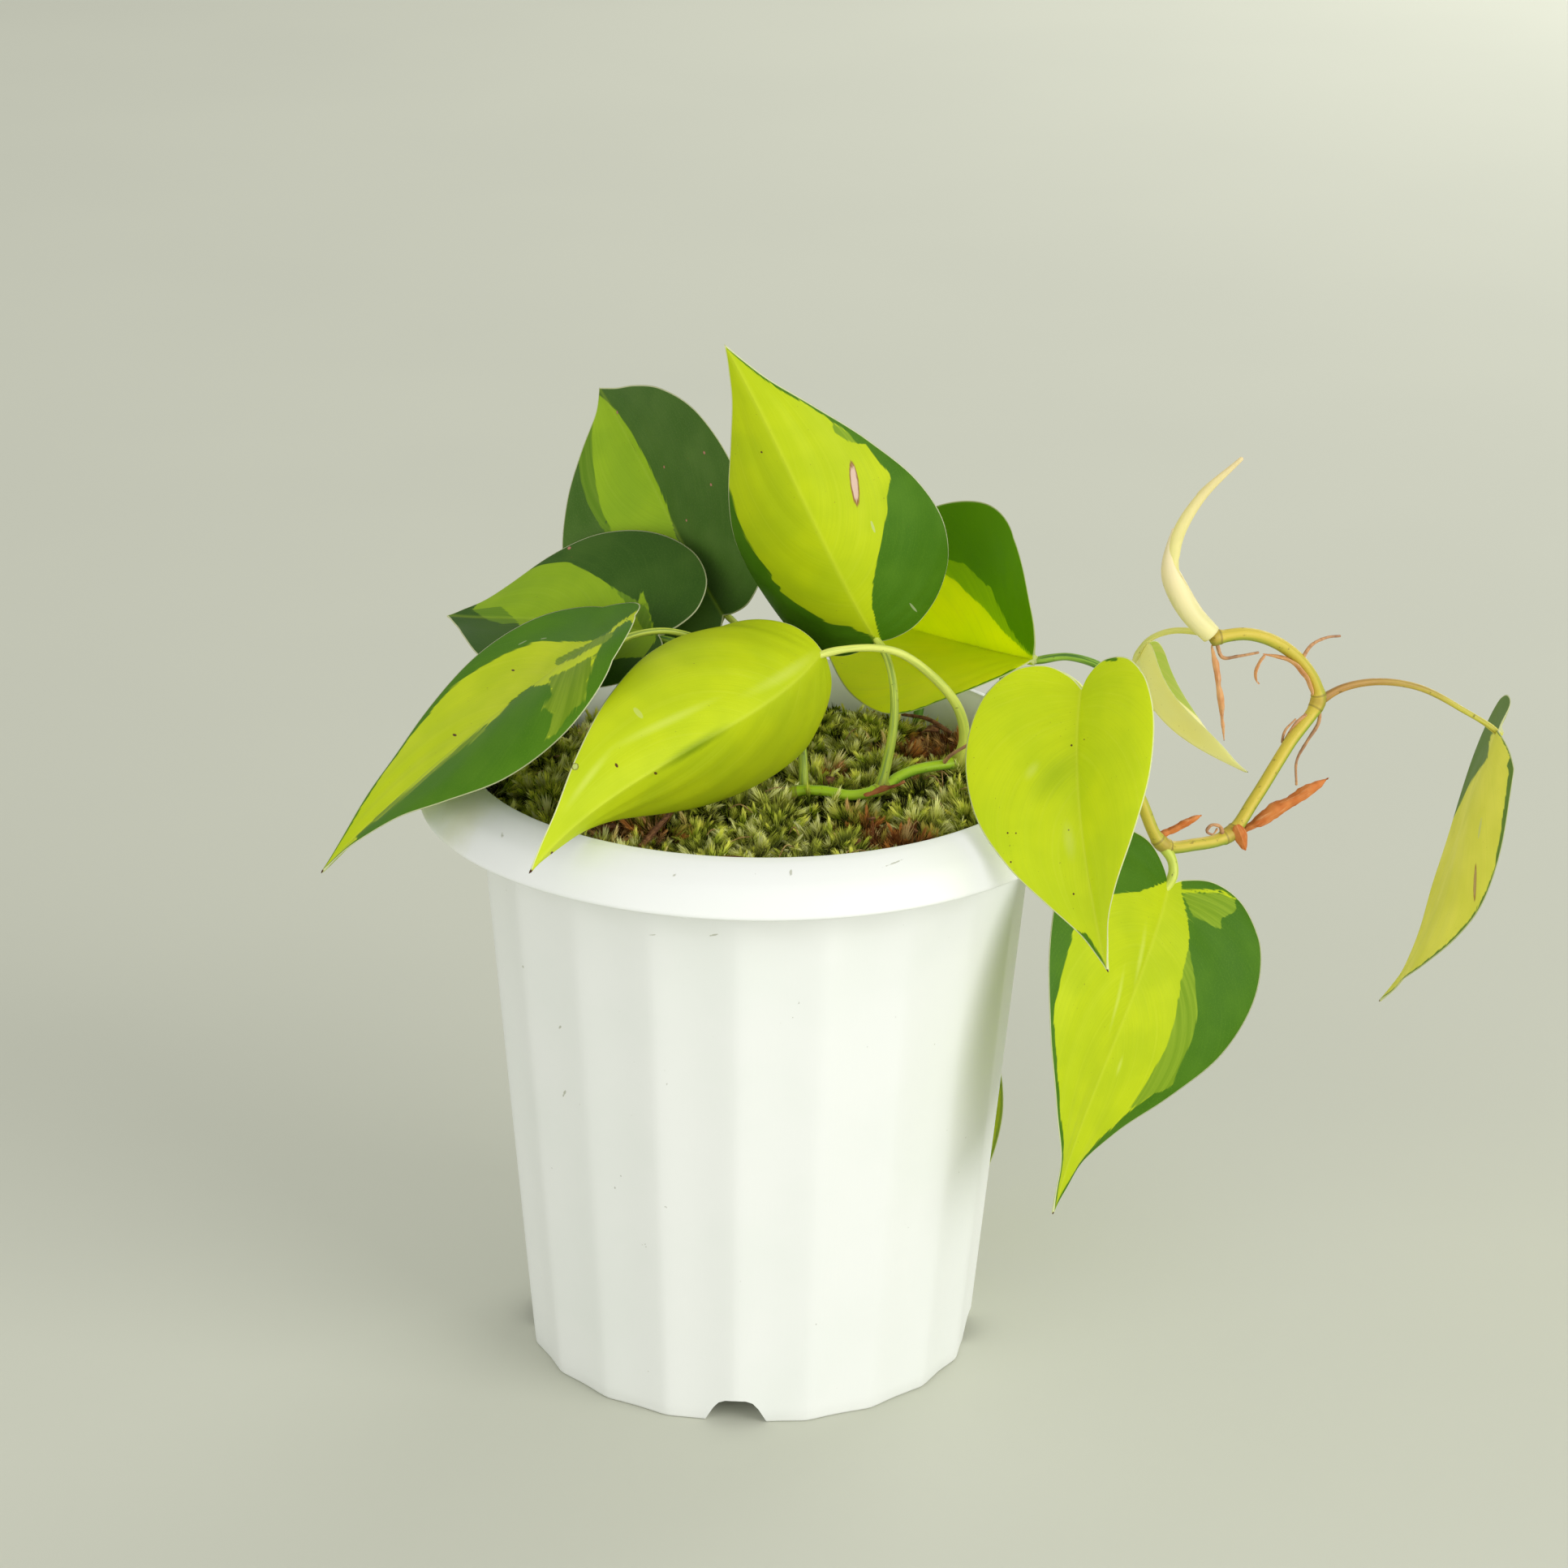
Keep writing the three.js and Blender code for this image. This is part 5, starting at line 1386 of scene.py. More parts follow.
# Dried sheaths: small curled straps of brown paper-thin skin
strap = {
    "halfWidth": (2, 2), "fold": (-20, -20), "curl": (-20, -20), "arch": (0.15, 0.1), "sway": (0, 0),
    "belly": 1, "lobe": (1, 1), "twist": 0, "thickness": 0.35, "crumple": 0.45, "skin": "dried",
    "rows": 46, "columns": 7,
}
straps = {
    "dry_sheath_hanging": {
        **strap, "base": (89.5, -5, 124), "tip": (99.5, -1, 128), "facing": (0, -0.8, 0.6),
        "halfWidth": (1.6, 1.6), "fold": (-40, -40), "curl": (-30, -30),
    },
    "dry_sheath_bend": {
        **strap, "base": (107.5, 2, 124.5), "tip": (110, 3.2, 118), "facing": (0, -1, 0.3),
    },
    "dry_sheath_long": {
        **strap, "base": (107.5, 7, 119.6), "tip": (129, 12, 132.5), "facing": (-0.3, -0.9, 0.3),
        "halfWidth": (2.1, 2.1), "fold": (-25, -25), "curl": (-60, -50), "crumple": 0.6,
    },
    "dry_sheath_arch": {
        **strap, "base": (125, 20.5, 149), "tip": (113, 17, 160), "facing": (-0.7, -0.2, -0.7),
        "halfWidth": (1.5, 1.5), "arch": (-0.2, -0.2), "skin": "papery",
    },
    "dry_sheath_tip": {
        **strap, "base": (101.3, 14.6, 162.8), "tip": (105, 14, 140), "facing": (0.2, -1, 0),
        "halfWidth": (0.8, 0.8), "crumple": 0.5, "skin": "papery",
    },
}
scraps = {
    "dried_scrap_rooted": {
        **strap, "base": (23.5, -21, 139.2), "tip": (32.5, -17.5, 140.8), "facing": (0, -0.6, 1),
        "halfWidth": (1.3, 1.2), "fold": (-50, -30), "crumple": 0.7, "skin": "bark",
    },
    "dried_curl_arch": {
        **strap, "base": (113.6, 16.8, 159.6), "tip": (112.2, 15.5, 153), "facing": (-1, -0.4, 0),
        "halfWidth": (0.8, 0.8), "arch": (0.35, 0.3), "skin": "papery",
    },
}
sheathTones = {
    "dried": {"skin": (232, 150, 82), "deep": (210, 120, 56), "pale": (244, 192, 136), "dark": (140, 76, 40)},
    "papery": {
        "skin": (236, 186, 128), "deep": (222, 158, 104), "pale": (246, 214, 172), "dark": (186, 122, 78),
    },
    "bark": {"skin": (168, 104, 56), "deep": (138, 80, 42), "pale": (206, 156, 104), "dark": (92, 52, 28)},
}


def drySheathFinish(name, tone):
    f = Finish(name)
    flat = f.layer("flat")
    fibres = f.noise(flat, 1.0, 4.0, 0.65, (0.18, 2.2, 1))
    colour = f.veil(tone["skin"], tone["deep"], f.noise(flat, 0.22), 0.35, 0.65)
    colour = f.veil(colour, tone["pale"], fibres, 0.5, 0.72, 0.7)
    colour = f.veil(colour, tone["dark"], fibres, 0.42, 0.28, 0.5)
    return f.surface(colour, f.bump(fibres, 0.3, 0.7), f.ease(fibres, 0.3, 0.7, 0.6, 0.8), 0.3, through=0.25)


def makeStraps():
    finishes = {key: drySheathFinish(key + "Sheath", tone) for key, tone in sheathTones.items()}
    for name, leaf in {**straps, **scraps}.items():
        sheet = Sheet(leaf, leaf["rows"], leaf["columns"], lanceOutline)
        seed = int(leaf["base"][0] * 10)
        free = smooth(sheet.row, 0.0, 0.15)[:, None]
        crumple = leaf["crumple"] * softNoise(sheet.flat, 5.0, seed, 3) * free
        points, faces = sheet.shell(leaf["thickness"], crumple)
        flat = np.c_[sheet.spread(sheet.flat), np.zeros(len(points))]
        replaced = [name] if name in straps else ()
        pieceName = name.replace("dry_sheath", "dried_strap")
        onePiece(pieceName, points, faces, finishes[leaf["skin"]], "dry_sheath", replaced, flat=flat)


makeStraps()
print("dried sheaths made:", len(straps))


# Air roots: thin brown threads from the nodes
airRoots = {
    "air_root_far_right": [(127, 22.3, 146.5), (127, 22, 142), (124.6, 21.5, 137.6), (122.4, 21, 133),
                           (122.5, 20, 127.5)],
    "air_root_arch": [(122, 21, 156.8), (124.5, 22, 160.5), (128, 23, 162), (131, 23.5, 162.2)],
    "air_root_tip": [(102.4, 16, 163), (104, 16, 159.3), (107.5, 15.6, 159.8), (112, 16, 160.6)],
    "air_root_front": [(41.5, 0, 139), (43, -4, 142.5), (46.5, -8, 146.5), (48.5, -10, 149.5)],
}
threads = {
    "root_curl_bend": [(104.6, 2.6, 122), (103.8, 1.4, 124.3), (101.8, 0.4, 125), (100.8, 0.2, 123.6),
                       (102.2, 0.4, 122.8), (103.2, 0.8, 124)],
    "root_curl_far_right": [(123.8, 19.6, 144.6), (121.6, 18.6, 143), (118.6, 17.6, 138.4),
                            (119, 17.6, 141.4), (121.4, 18.4, 144)],
}
rootSizes = {"start": 0.5, "end": 0.26, "sides": 10, "knots": 0.07, "spacing": 0.4}


def rootFinish():
    f = Finish("airRootSkin")
    place = f.place()
    scales = f.noise(place, 1500.0, 3.0, 0.6)
    colour = f.veil((172, 130, 100), (200, 152, 108), f.noise(place, 240.0), 0.4, 0.6)
    colour = f.veil(colour, (126, 90, 66), scales, 0.5, 0.65, 0.4)
    return f.surface(colour, f.bump(scales, 0.12, 0.6), f.ease(scales, 0.3, 0.7, 0.65, 0.85), 0.3)


def makeAirRoots():
    finish = rootFinish()
    for name, route in {**airRoots, **threads}.items():
        path, travelled = routeCurve(route, rootSizes["spacing"])
        radii = lerp(rootSizes["start"], rootSizes["end"], travelled / travelled[-1])
        radii = radii + rootSizes["knots"] * softNoise(travelled[:, None], 2.0, len(route), 2)
        points, faces, run = tube(path, radii, rootSizes["sides"])
        replaced = [name] if name in airRoots else ()
        pieceName = name.replace("air_root", "root_thread")
        onePiece(pieceName, points, faces, finish, "air_root", replaced, run=run)


makeAirRoots()
print("air roots made:", len(airRoots))


# Moss: a bumpy bed, sprigs of needles in star-shaped tufts, and litter lying on it
moss = {
    "radius": 60.3,
    "bottom": 128.0,
    "edge": 132.6,
    "crown": 135.4,
    "sunk": 3.2,
    "rings": 60,
    "spokes": 150,
    "stalksFrom": 127.0,          # a stalk that starts below this comes up through the moss
    "clearFrom": 131.0,           # stems keep sprigs away where they pass above this
    "bareEdge": (58.8, 60.0),     # sprigs thin out and end here, beside the pot's wall
    "leanIn": (46, 59),           # sprigs lean inwards from here on
    "brownPatches": [((25, -29), 8), ((40, 24), 12), ((50, 32), 9), ((-30, -30), 9), ((34, -38), 6),
                     ((19, 3), 5), ((-20, 30), 14)],
    "paintedLightPatches": [((8, -40), 16), ((20, 6), 12), ((38, -24), 10), ((0, -10), 12), ((-10, -46), 10)],
}


def mossHeight(x, y):
    # a low dome with cushions and, on these, smaller tufts
    out = np.hypot(x, y) / moss["radius"]
    dome = moss["edge"] + (moss["crown"] - moss["edge"]) * (1 - out ** 3)
    cushions = np.sin(0.31 * x + 0.4) * np.cos(0.27 * y - 0.5) + 0.7 * np.sin(0.52 * x - 0.44 * y)
    tufts = np.sin(1.05 * x + 0.6 * y) * np.sin(0.83 * y - 0.4 * x + 1.1)
    return dome + 0.75 * cushions + 0.5 * tufts


def patches(spots, x, y):
    total = 0
    for (cx, cy), reach in spots:
        total = total + np.exp(-((x - cx) ** 2 + (y - cy) ** 2) / reach ** 2)
    return np.clip(total, 0, 1)


def stemClearance(x, y):
    # how near the vine and the rooted stalks pass, so that no sprig stands through them
    rooted = [leaf["stalk"][:3] for leaf in leaves.values() if leaf["stalk"][0][2] < moss["stalksFrom"]]
    spots = np.stack([np.ravel(x), np.ravel(y)], axis=1)
    away = np.full(len(spots), 1e9)
    for route in [vinePath()[1:11], *rooted]:          # of the vine, the part inside the pot
        path, _ = routeCurve(route, 1.0)
        for at in path[path[:, 2] > moss["clearFrom"]]:
            away = np.minimum(away, np.hypot(spots[:, 0] - at[0], spots[:, 1] - at[1]))
    return away.reshape(np.shape(x))


def shadedMossBedFinish():
    f = Finish("mossBed")
    place = f.place()
    crumbs = f.noise(place, 900.0, 4.0, 0.65)
    # the bed is painted near black: dark old moss, and painted shade in the gaps between sprigs
    colour = f.veil((26, 25, 9), (40, 28, 15), f.noise(place, 90.0), 0.35, 0.65)
    colour = f.veil(colour, (66, 58, 22), crumbs, 0.5, 0.7, 0.7)
    return f.surface(colour, f.bump(crumbs, 0.8, 0.9), f.ease(crumbs, 0.3, 0.7, 0.8, 0.95), 0.2)


def makeMossBed():
    # the layer "zone" holds the room for sprigs, dead moss and patches of painted light; "hold" leans sprigs
    # inwards
    rings, radius, bottom = moss["rings"], moss["radius"], moss["bottom"]
    above = 140.0
    rim = [(radius - 0.8, bottom), (radius, moss["edge"] - 2.6)]
    top = [(radius * (1 - i / rings), above) for i in range(rings)]
    points, faces = turned([(0, bottom), *rim, *top, (0, above)], moss["spokes"])
    top = points[:, 2] > above - 1
    bumps = 0.35 * softNoise(points[top, :2], 2.2, 5)
    points[top, 2] = mossHeight(points[top, 0], points[top, 1]) - moss["sunk"] + bumps
    x, y = points[:, 0], points[:, 1]
    dead = np.clip(patches(moss["brownPatches"], x, y) + 0.35 * softNoise(points[:, :2], 16.0, 8), 0, 1)
    bright = np.clip(patches(moss["paintedLightPatches"], x, y) + 0.35 * softNoise(points[:, :2], 12.0, 9), 0, 1)
    out = np.hypot(x, y)
    room = smooth(stemClearance(x, y), 0.8, 2.4) * (1 - smooth(out, *moss["bareEdge"]))
    hold = points * (1, 1, 0) / np.maximum(out, 1)[:, None] * -smooth(out, *moss["leanIn"])[:, None]
    zone = np.stack([room, dead, bright], axis=1)
    return onePiece("moss_floor", points, faces, shadedMossBedFinish(), "moss", ["moss_bed"], zone=zone, hold=hold)


mossBed = makeMossBed()

# One sprig: needles in whorls up a leaning axis, spread wide low down, closing to a bright point
sprigKinds = [
    {"whorls": 9, "needles": 5, "axis": 4.6, "length": 2.9, "spreadLow": 74, "spreadHigh": 12,
     "breadth": 0.28, "bend": 0.8},
    {"whorls": 8, "needles": 5, "axis": 3.4, "length": 3.4, "spreadLow": 80, "spreadHigh": 18,
     "breadth": 0.26, "bend": 1.3},
    {"whorls": 9, "needles": 5, "axis": 5.6, "length": 2.6, "spreadLow": 66, "spreadHigh": 8,
     "breadth": 0.28, "bend": 0.6},
]
needleTurn = math.radians(137.5)


def makeSprig(index, kind):
    points, faces, heights = [], [], []
    draw = np.random.default_rng(40 + index)
    total = kind["whorls"] * kind["needles"]
    half, bend = kind["breadth"] / 2, kind["bend"]
    for k in range(total):
        share = k / (total - 1)
        turn = needleTurn * k + draw.uniform(-0.2, 0.2)
        spread = math.radians(lerp(kind["spreadLow"], kind["spreadHigh"], share ** 0.8))
        lean = spread * draw.uniform(0.85, 1.15)
        root = np.array([0.5 * bend * share ** 2, 0, kind["axis"] * share * 0.8])
        outward = np.array([math.cos(turn), math.sin(turn), 0])
        way = outward * math.sin(lean) + np.array([0, 0, math.cos(lean)])
        length = kind["length"] * (1 - 0.4 * share) * draw.uniform(0.85, 1.15)
        side = np.array([-math.sin(turn), math.cos(turn), 0]) + (0, 0, draw.uniform(-0.8, 0.8))
        start = len(points)
        belly = root + way * length * 0.5 - outward * 0.06 * length * bend
        tip = root + way * length + (np.array([0, 0, 1.0]) - outward * 0.4) * length * 0.2 * bend
        points += [root, belly + side * half, belly - side * half, tip]
        heights += [0.5 * share, 0.34 + 0.54 * share, 0.34 + 0.54 * share, 0.62 + 0.38 * share]
        faces += [[start, start + 2, start + 1], [start + 1, start + 2, start + 3]]
    mesh = bpy.data.meshes.new(f"sprig{index}")
    mesh.from_pydata(np.array(points) * mm, [], faces)
    layer = mesh.attributes.new("rise", "FLOAT", "POINT")
    layer.data.foreach_set("value", heights)
    return bpy.data.objects.new(f"sprig{index}", mesh)


def spriggingTree(kinds, finish):
    # points on the bed carry sprigs that lean away from the middle of their tuft
    tree = bpy.data.node_groups.new("mossSprigs", "GeometryNodeTree")
    for way in ("INPUT", "OUTPUT"):
        tree.interface.new_socket("Geometry", in_out=way, socket_type="NodeSocketGeometry")
    for label in ("Sprigs per mm2", "Tuft width mm", "Lean", "Size", "Tuft kind", "Seed"):
        kind = "NodeSocketInt" if label == "Seed" else "NodeSocketFloat"
        tree.interface.new_socket(label, in_out="INPUT", socket_type=kind)
    wiring = Wiring(tree)
    calc, vector = wiring.calc, wiring.vector

    def step(kind, inputs, **settings):
        return wiring.node(kind, inputs, "GeometryNode", **settings).outputs

    def helper(kind, inputs, **settings):
        return wiring.node(kind, inputs, "FunctionNode", **settings).outputs

    def layer(name):
        return step("InputNamedAttribute", {"Name": name}, data_type="FLOAT_VECTOR")["Attribute"]

    def chance(low, high, seed=0):
        return helper("RandomValue", {2: low, 3: high, "Seed": seed}, data_type="FLOAT")[1]

    given = wiring.node("GroupInput", {}, "Node").outputs
    room, dead, bright = wiring.split(layer("zone"))
    # tufts: cells with a crowded middle; each cell favours one of the three kinds of moss
    where = step("InputPosition", {})[0]
    perMetre = calc("DIVIDE", 1000.0, given["Tuft width mm"])
    cells = wiring.node("TexVoronoi", {"Vector": where, "Scale": perMetre}, voronoi_dimensions="2D").outputs
    fromMiddle = vector("MULTIPLY", vector("SUBTRACT", where, cells["Position"]), (1000, 1000, 0))
    fringe = calc("DIVIDE", vector("LENGTH", fromMiddle), given["Tuft width mm"])
    crowd = calc("MAXIMUM", calc("SUBTRACT", 1.45, calc("MULTIPLY", fringe, 2.1)), 0.06)
    cellChance = helper("SeparateColor", {0: cells["Color"]})
    cellKind = calc("FRACT", calc("ADD", cellChance[0], given["Tuft kind"]))
    own = calc("ADD", 0.5, calc("MULTIPLY", calc("LESS_THAN", cellKind, 0.34), 1.5))
    onTop = calc("GREATER_THAN", wiring.split(step("InputNormal", {})[0])[2], 0.3)
    perSquareMetre = calc("MULTIPLY", given["Sprigs per mm2"], 1e6)
    density = calc("MULTIPLY", perSquareMetre, calc("MULTIPLY", onTop, room))
    density = calc("MULTIPLY", density, calc("MULTIPLY", crowd, own))
    scattered = step("DistributePointsOnFaces", {
        "Mesh": given["Geometry"], "Seed": given["Seed"], "Density": density,
    }, distribute_method="RANDOM")["Points"]
    # each sprig leans out of its tuft and in from the wall, with some chance, and is turned on its axis
    lean = wiring.node("VectorMath", {0: fromMiddle, "Scale": given["Lean"]}, operation="SCALE").outputs[0]
    jitter = helper("RandomValue", {
        0: (-0.9, -0.9, 0.45), 1: (0.9, 0.9, 1.0), "Seed": given["Seed"],
    }, data_type="FLOAT_VECTOR")[0]
    way = vector("ADD", vector("ADD", lean, layer("hold")), jitter)
    leaning = helper("AlignRotationToVector", {"Vector": way}, axis="Z")[0]
    spin = helper("AxisAngleToRotation", {"Axis": (0, 0, 1), "Angle": chance(0.0, 2 * math.pi)})[0]
    rotation = helper("RotateRotation", {0: leaning, 1: spin}, rotation_space="LOCAL")[0]
    # sprigs are smaller at a tuft's fringe, where room is short, and in some of the tufts
    size = calc("MULTIPLY", given["Size"], calc("SUBTRACT", 1.25, calc("MULTIPLY", fringe, 0.8)))
    size = calc("MULTIPLY", size, chance(0.75, 1.25))
    size = calc("MULTIPLY", size, calc("ADD", 0.45, calc("MULTIPLY", room, 0.55)))
    size = calc("MULTIPLY", size, calc("ADD", 0.78, calc("MULTIPLY", cellChance[1], 0.5)))
    pool = step("CollectionInfo", {"Collection": kinds, "Separate Children": True, "Reset Children": True})[0]
    planted = step("InstanceOnPoints", {
        "Points": scattered, "Instance": pool, "Pick Instance": True, "Rotation": rotation, "Scale": size,
    })[0]
    tint = wiring.node("CombineXYZ", {0: chance(0.0, 1.0, 3), 1: dead, 2: bright}).outputs[0]
    stored = step("StoreNamedAttribute", {
        "Geometry": planted, "Name": "tint", "Value": tint,
    }, data_type="FLOAT_VECTOR", domain="INSTANCE")[0]
    real = step("RealizeInstances", {"Geometry": stored})[0]
    painted = step("SetMaterial", {"Geometry": real, "Material": finish})[0]
    wiring.node("GroupOutput", {"Geometry": painted}, "Node")
    return tree


def sprigFinish(name, tone):
    f = Finish(name)
    rise = f.node("Attribute", {}, attribute_name="rise").outputs["Fac"]
    chance, dead, bright = f.split(f.layer("tint"))
    # the near-black base of live and dead sprigs is painted shade deep in the moss; the tip colour is partly
    # painted light
    leafy = f.veil(tone["root"], tone["leaf"], rise, 0.34, 0.8)
    leafy = f.veil(leafy, tone["tip"], rise, 0.62, 0.9)
    # the bright patches are painted light: the moss colour screened towards pale yellow
    lit = f.mix(1.0, leafy, (255, 255, 150), "SCREEN")
    paintedLitMoss = f.mix(f.calc("MULTIPLY", bright, 0.55), leafy, lit)
    paintedLitMoss = f.mix(f.calc("MULTIPLY", bright, 0.2), leafy, paintedLitMoss)
    dry = f.veil((56, 32, 12), tone["dead"], rise, 0.2, 0.9)
    age = f.calc("ADD", f.calc("MULTIPLY", dead, 0.75), f.calc("MULTIPLY", chance, 0.45))
    colour = f.veil(paintedLitMoss, dry, age, 0.5, 0.85)
    colour = f.mix(f.ease(chance, 0.0, 0.8, 0.4, 0.0), colour, (30, 36, 8))
    return f.surface(colour, None, f.ease(rise, 0.0, 1.0, 0.75, 0.6), 0.3, through=0.22)


# Three kinds of moss: how it grows, as the tree's named inputs, and its colours from root to tip;
# the near-black root is painted shade deep among the sprigs, the pale tip partly the moss's own and partly
# painted light
mossLayers = {
    "moss_green": {
        "Sprigs per mm2": 0.25, "Tuft width mm": 7.5, "Lean": 0.3, "Size": 1.0, "Tuft kind": 0.0,
        "Seed": 11, "root": (20, 20, 3), "leaf": (182, 206, 34), "tip": (255, 255, 116),
        "dead": (200, 134, 66),
    },
    "moss_pale": {
        "Sprigs per mm2": 0.2, "Tuft width mm": 7.5, "Lean": 0.34, "Size": 1.1, "Tuft kind": 0.33,
        "Seed": 23, "root": (32, 28, 6), "leaf": (228, 232, 98), "tip": (255, 255, 176),
        "dead": (232, 184, 120),
    },
    "moss_dark": {
        "Sprigs per mm2": 0.25, "Tuft width mm": 7.5, "Lean": 0.26, "Size": 0.95, "Tuft kind": 0.66,
        "Seed": 37, "root": (12, 12, 2), "leaf": (96, 114, 16), "tip": (204, 212, 74),
        "dead": (124, 72, 32),
    },
}


def makeSprigs():
    kinds = bpy.data.collections.new("sprigKinds")
    for index, kind in enumerate(sprigKinds):
        kinds.objects.link(makeSprig(index, kind))
    for name, layer in mossLayers.items():
        tree = spriggingTree(kinds, sprigFinish(name + "_needles", layer))
        carrier = bpy.data.objects.new("carrier", mossBed.data)
        bpy.context.scene.collection.objects.link(carrier)
        change = carrier.modifiers.new("sprigs", "NODES")
        change.node_group = tree
        for socket in tree.interface.items_tree:
            if socket.in_out == "INPUT" and socket.name in layer:
                change[socket.identifier] = layer[socket.name]
        grown = carrier.evaluated_get(bpy.context.evaluated_depsgraph_get())
        mesh = bpy.data.meshes.new_from_object(grown)
        bpy.data.objects.remove(carrier)
        mesh.name = name
        standIn(name, mesh, ["moss_bed"])
        print(name, "triangles:", sum(len(face.vertices) - 2 for face in mesh.polygons))
    for sprig in list(kinds.objects):
        bpy.data.objects.remove(sprig)
    bpy.data.collections.remove(kinds)


makeSprigs()

# Litter: flakes of bark, twigs and straws on the moss
litter = {
    "twigs": [((-24.5, -41, 2.8), (-16.5, -24, 3.4), 0.75), ((44, 30, 3.0), (33, 38, 3.6), 0.6),
              ((-8, -47, 3.0), (2, -52, 2.6), 0.4)],
    "twigSunk": 1.8,
    "flakes": [((15.8, -5.6), 5.0), ((21.8, -39.5), 3.2), ((40.1, 32.1), 6.0), ((52, 22), 3.5),
               ((25.5, -27), 3.4), ((34, -34), 3.0), ((-31, -33), 4.0), ((-38, -20), 3.4), ((8, 30), 4.2),
               ((-6, 48), 4.6), ((-44, 10), 4.0), ((48, -18), 2.8), ((2, -50), 2.6), ((-16, 14), 3.2)],
    "flakeCorners": 9,
    "flakeLift": 1.2,
    "straws": 46,
    "strawLength": 7.0,
    "strawRadius": 0.16,
    "strawEdge": 58.5,
}


def litterFinish(name, low, high, stripe):
    f = Finish(name)
    grain = f.noise(f.place(), 800.0, 4.0, 0.7, (1, 1, 3))
    colour = f.veil(low, high, grain, 0.4, 0.65)
    colour = f.veil(colour, stripe, grain, 0.6, 0.75, 0.7)
    return f.surface(colour, f.bump(grain, 0.5, 0.8), f.ease(grain, 0.3, 0.7, 0.75, 0.92), 0.25)


def onMoss(x, y, lift):
    return np.array([x, y, float(mossHeight(x, y)) + lift])


def makeFlake(draw, at, size):
    sides = litter["flakeCorners"]
    turn = np.arange(sides) * 2 * math.pi / sides
    reach = size / 2 * draw.uniform(0.45, 1.25, sides)
    outline = np.stack([np.cos(turn) * reach, np.sin(turn) * reach * 0.55, np.zeros(sides)], axis=1)
    bent = np.vstack([outline * 0.94 + (0, 0, -0.2), outline, outline * 0.9 + (0, 0, 0.25),
                      [(0, 0, -0.2), (0, 0, 0.35)]])
    bent[:, 2] += 0.5 * softNoise(bent[:, :2], 2.5, int(size * 10))
    tilt = Matrix.Rotation(draw.uniform(0, 6.28), 3, "Z") @ Matrix.Rotation(draw.uniform(-0.9, 0.9), 3, "X")
    return bent @ np.array(tilt).T + onMoss(*at, litter["flakeLift"]), closedRings(3, sides)


def makeStraw(draw):
    around, out = draw.uniform(0, 2 * math.pi), moss["radius"] * 0.9 * math.sqrt(draw.uniform())
    x, y = out * math.cos(around), out * math.sin(around)
    way = draw.uniform(0, 2 * math.pi)
    half = litter["strawLength"] / 2 * draw.uniform(0.4, 1.0)
    spots = []
    for sign in (-1, 0, 1):
        lift = 1.4 if sign == 0 else draw.uniform(-0.3, 1.2)
        spots.append(onMoss(x + sign * half * math.cos(way), y + sign * half * math.sin(way), 0.6 + lift))
    if max(math.hypot(*spots[0][:2]), math.hypot(*spots[2][:2])) > litter["strawEdge"]:
        return None          # it would stick out through the pot's wall
    path, travelled = routeCurve(spots, 0.8)
    radii = litter["strawRadius"] * (1 - 0.6 * np.abs(travelled / travelled[-1] * 2 - 1) ** 3)
    return tube(path, radii, 5)[:2]


def makeLitter():
    draw = np.random.default_rng(71)
    whole = Gather()
    for at, size in litter["flakes"]:
        whole.add(*makeFlake(draw, at, size))
    for (ax, ay, az), (bx, by, bz), radius in litter["twigs"]:
        start = onMoss(ax, ay, az - litter["twigSunk"])
        end = onMoss(bx, by, bz - litter["twigSunk"])
        middle = (start + end) / 2 + np.array([0.6, -0.4, 1.2])
        path, travelled = routeCurve([start, middle, end], 0.6)
        radii = radius * (1 - 0.4 * travelled / travelled[-1]) + 0.1 * softNoise(travelled[:, None], 3.0, 4)
        whole.add(*tube(path, radii, 9)[:2])
    bark = litterFinish("barkLitter", (96, 62, 40), (142, 100, 66), (188, 150, 110))
    whole.piece("moss_litter", [bark], ["moss_bed"])
    straws = Gather()
    for _ in range(litter["straws"]):
        straw = makeStraw(draw)
        if straw:
            straws.add(*straw)
    strawTan = litterFinish("strawLitter", (150, 118, 72), (196, 168, 112), (214, 196, 150))
    straws.piece("moss_straws", [strawTan], ["moss_bed"])


makeLitter()
print("moss laid")


# Soil keeps its own solid; only a rim of it could ever show, so it gets the finish of damp peat
def soilFinish():
    f = Finish("peatSoil")
    place = f.place()
    crumbs = f.noise(place, 420.0, 4.0, 0.7)
    fibres = f.noise(place, 260.0, 3.0, stretch=(1, 3, 1))
    colour = f.veil((46, 32, 22), (78, 56, 38), crumbs, 0.4, 0.65)
    colour = f.veil(colour, (116, 86, 56), fibres, 0.62, 0.7, 0.6)
    return f.surface(colour, f.bump(crumbs, 1.2, 0.9), f.ease(crumbs, 0.3, 0.7, 0.85, 0.98), 0.2)


soilLook = soilFinish()
for soilSlot in frame["nodes"]["potting_soil"].material_slots:
    soilSlot.material = soilLook


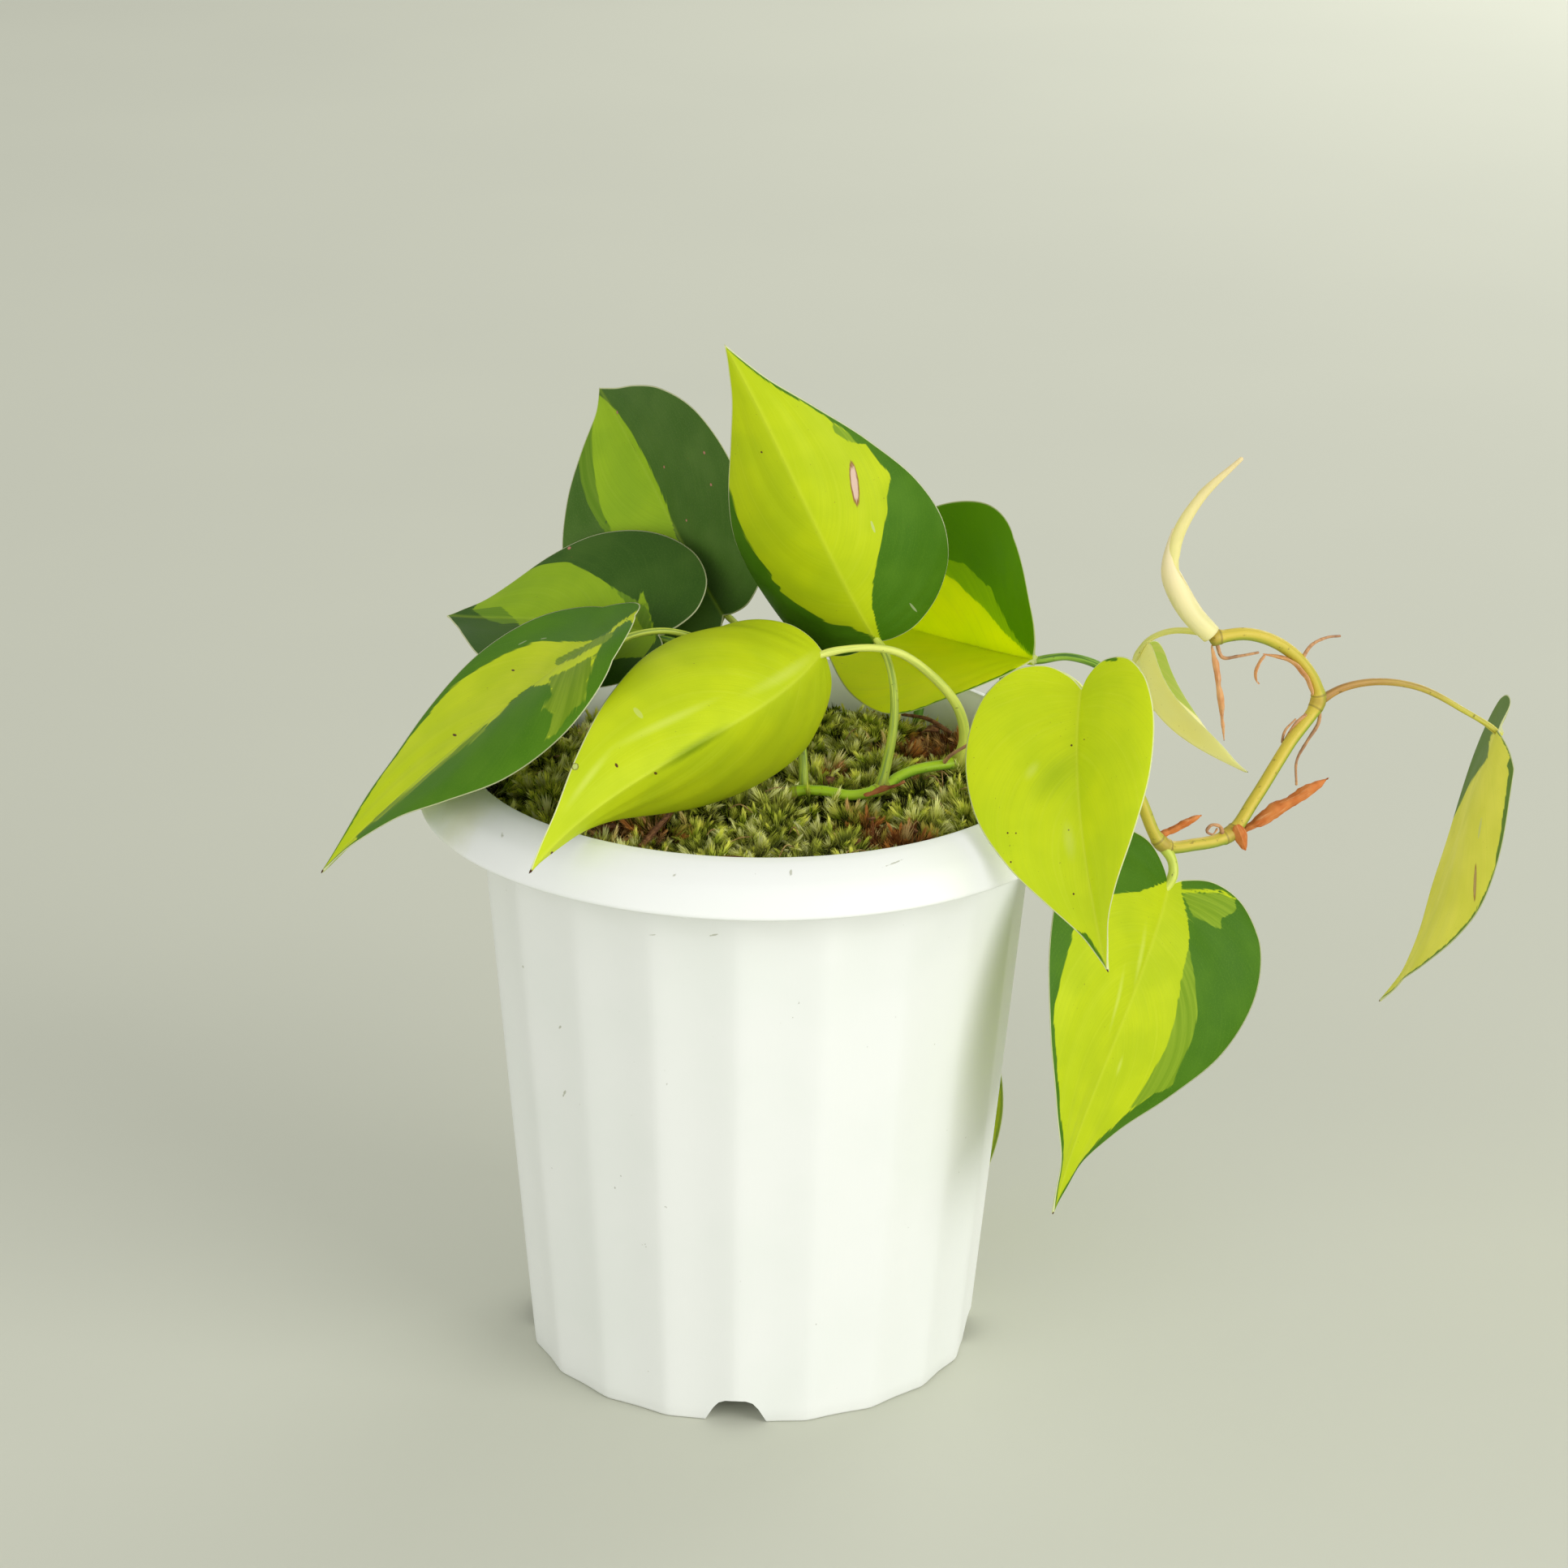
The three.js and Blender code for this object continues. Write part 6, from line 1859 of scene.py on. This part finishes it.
# Stage: a pale floor, a large soft light from the front right, weaker ones from the left and from behind
stage = {
    "floorSize": 8.0,
    "floorTones": ((203, 205, 190), (198, 200, 186)),
    "lamps": {
        "key": {"at": (1.5, -1.1, 0.74), "size": 1.5, "power": 23.5, "tint": (1.0, 0.995, 0.975)},
        "fill": {"at": (-1.1, -1.8, 0.55), "size": 2.2, "power": 19.0, "tint": (1.0, 1.0, 0.99)},
        "back": {"at": (0.9, 1.7, 0.7), "size": 1.4, "power": 13.0, "tint": (1.0, 1.0, 0.98)},
    },
    "aim": (0.02, 0.0, 0.12),
    "worldTone": (1.0, 1.0, 0.97),
    "worldPower": 0.62,
}


def makeStage():
    reach = stage["floorSize"] / 2
    corners = [(-reach, -reach, 0), (reach, -reach, 0), (reach, reach, 0), (-reach, reach, 0)]
    mesh = bpy.data.meshes.new("floor")
    mesh.from_pydata(corners, [], [(0, 1, 2, 3)])
    floor = bpy.data.objects.new("floor", mesh)
    bpy.context.scene.collection.objects.link(floor)
    f = Finish("paleFloor")
    colour = f.veil(*stage["floorTones"], f.noise(f.place(), 6.0), 0.3, 0.7, 0.3)
    mesh.materials.append(f.surface(colour, None, 0.9, 0.1, 1.5))
    for name, lamp in stage["lamps"].items():
        data = bpy.data.lights.new(name, "AREA")
        data.shape = "DISK"
        data.size = lamp["size"]
        data.energy = lamp["power"]
        data.color = lamp["tint"]
        light = bpy.data.objects.new(name, data)
        aim = unit(np.array(stage["aim"]) - np.array(lamp["at"]))
        side = unit(np.cross(aim, (0, 0, 1)))
        turn = Matrix((side, np.cross(side, aim), -aim)).transposed().to_4x4()
        light.matrix_world = Matrix.Translation(lamp["at"]) @ turn
        bpy.context.scene.collection.objects.link(light)
    world = bpy.data.worlds.new("studio")
    world.use_nodes = True
    sky = world.node_tree.nodes["Background"]
    sky.inputs[0].default_value = (*stage["worldTone"], 1)
    sky.inputs[1].default_value = stage["worldPower"]
    bpy.context.scene.world = world
    bpy.context.scene.view_settings.view_transform = "Standard"


makeStage()
print("stage set")
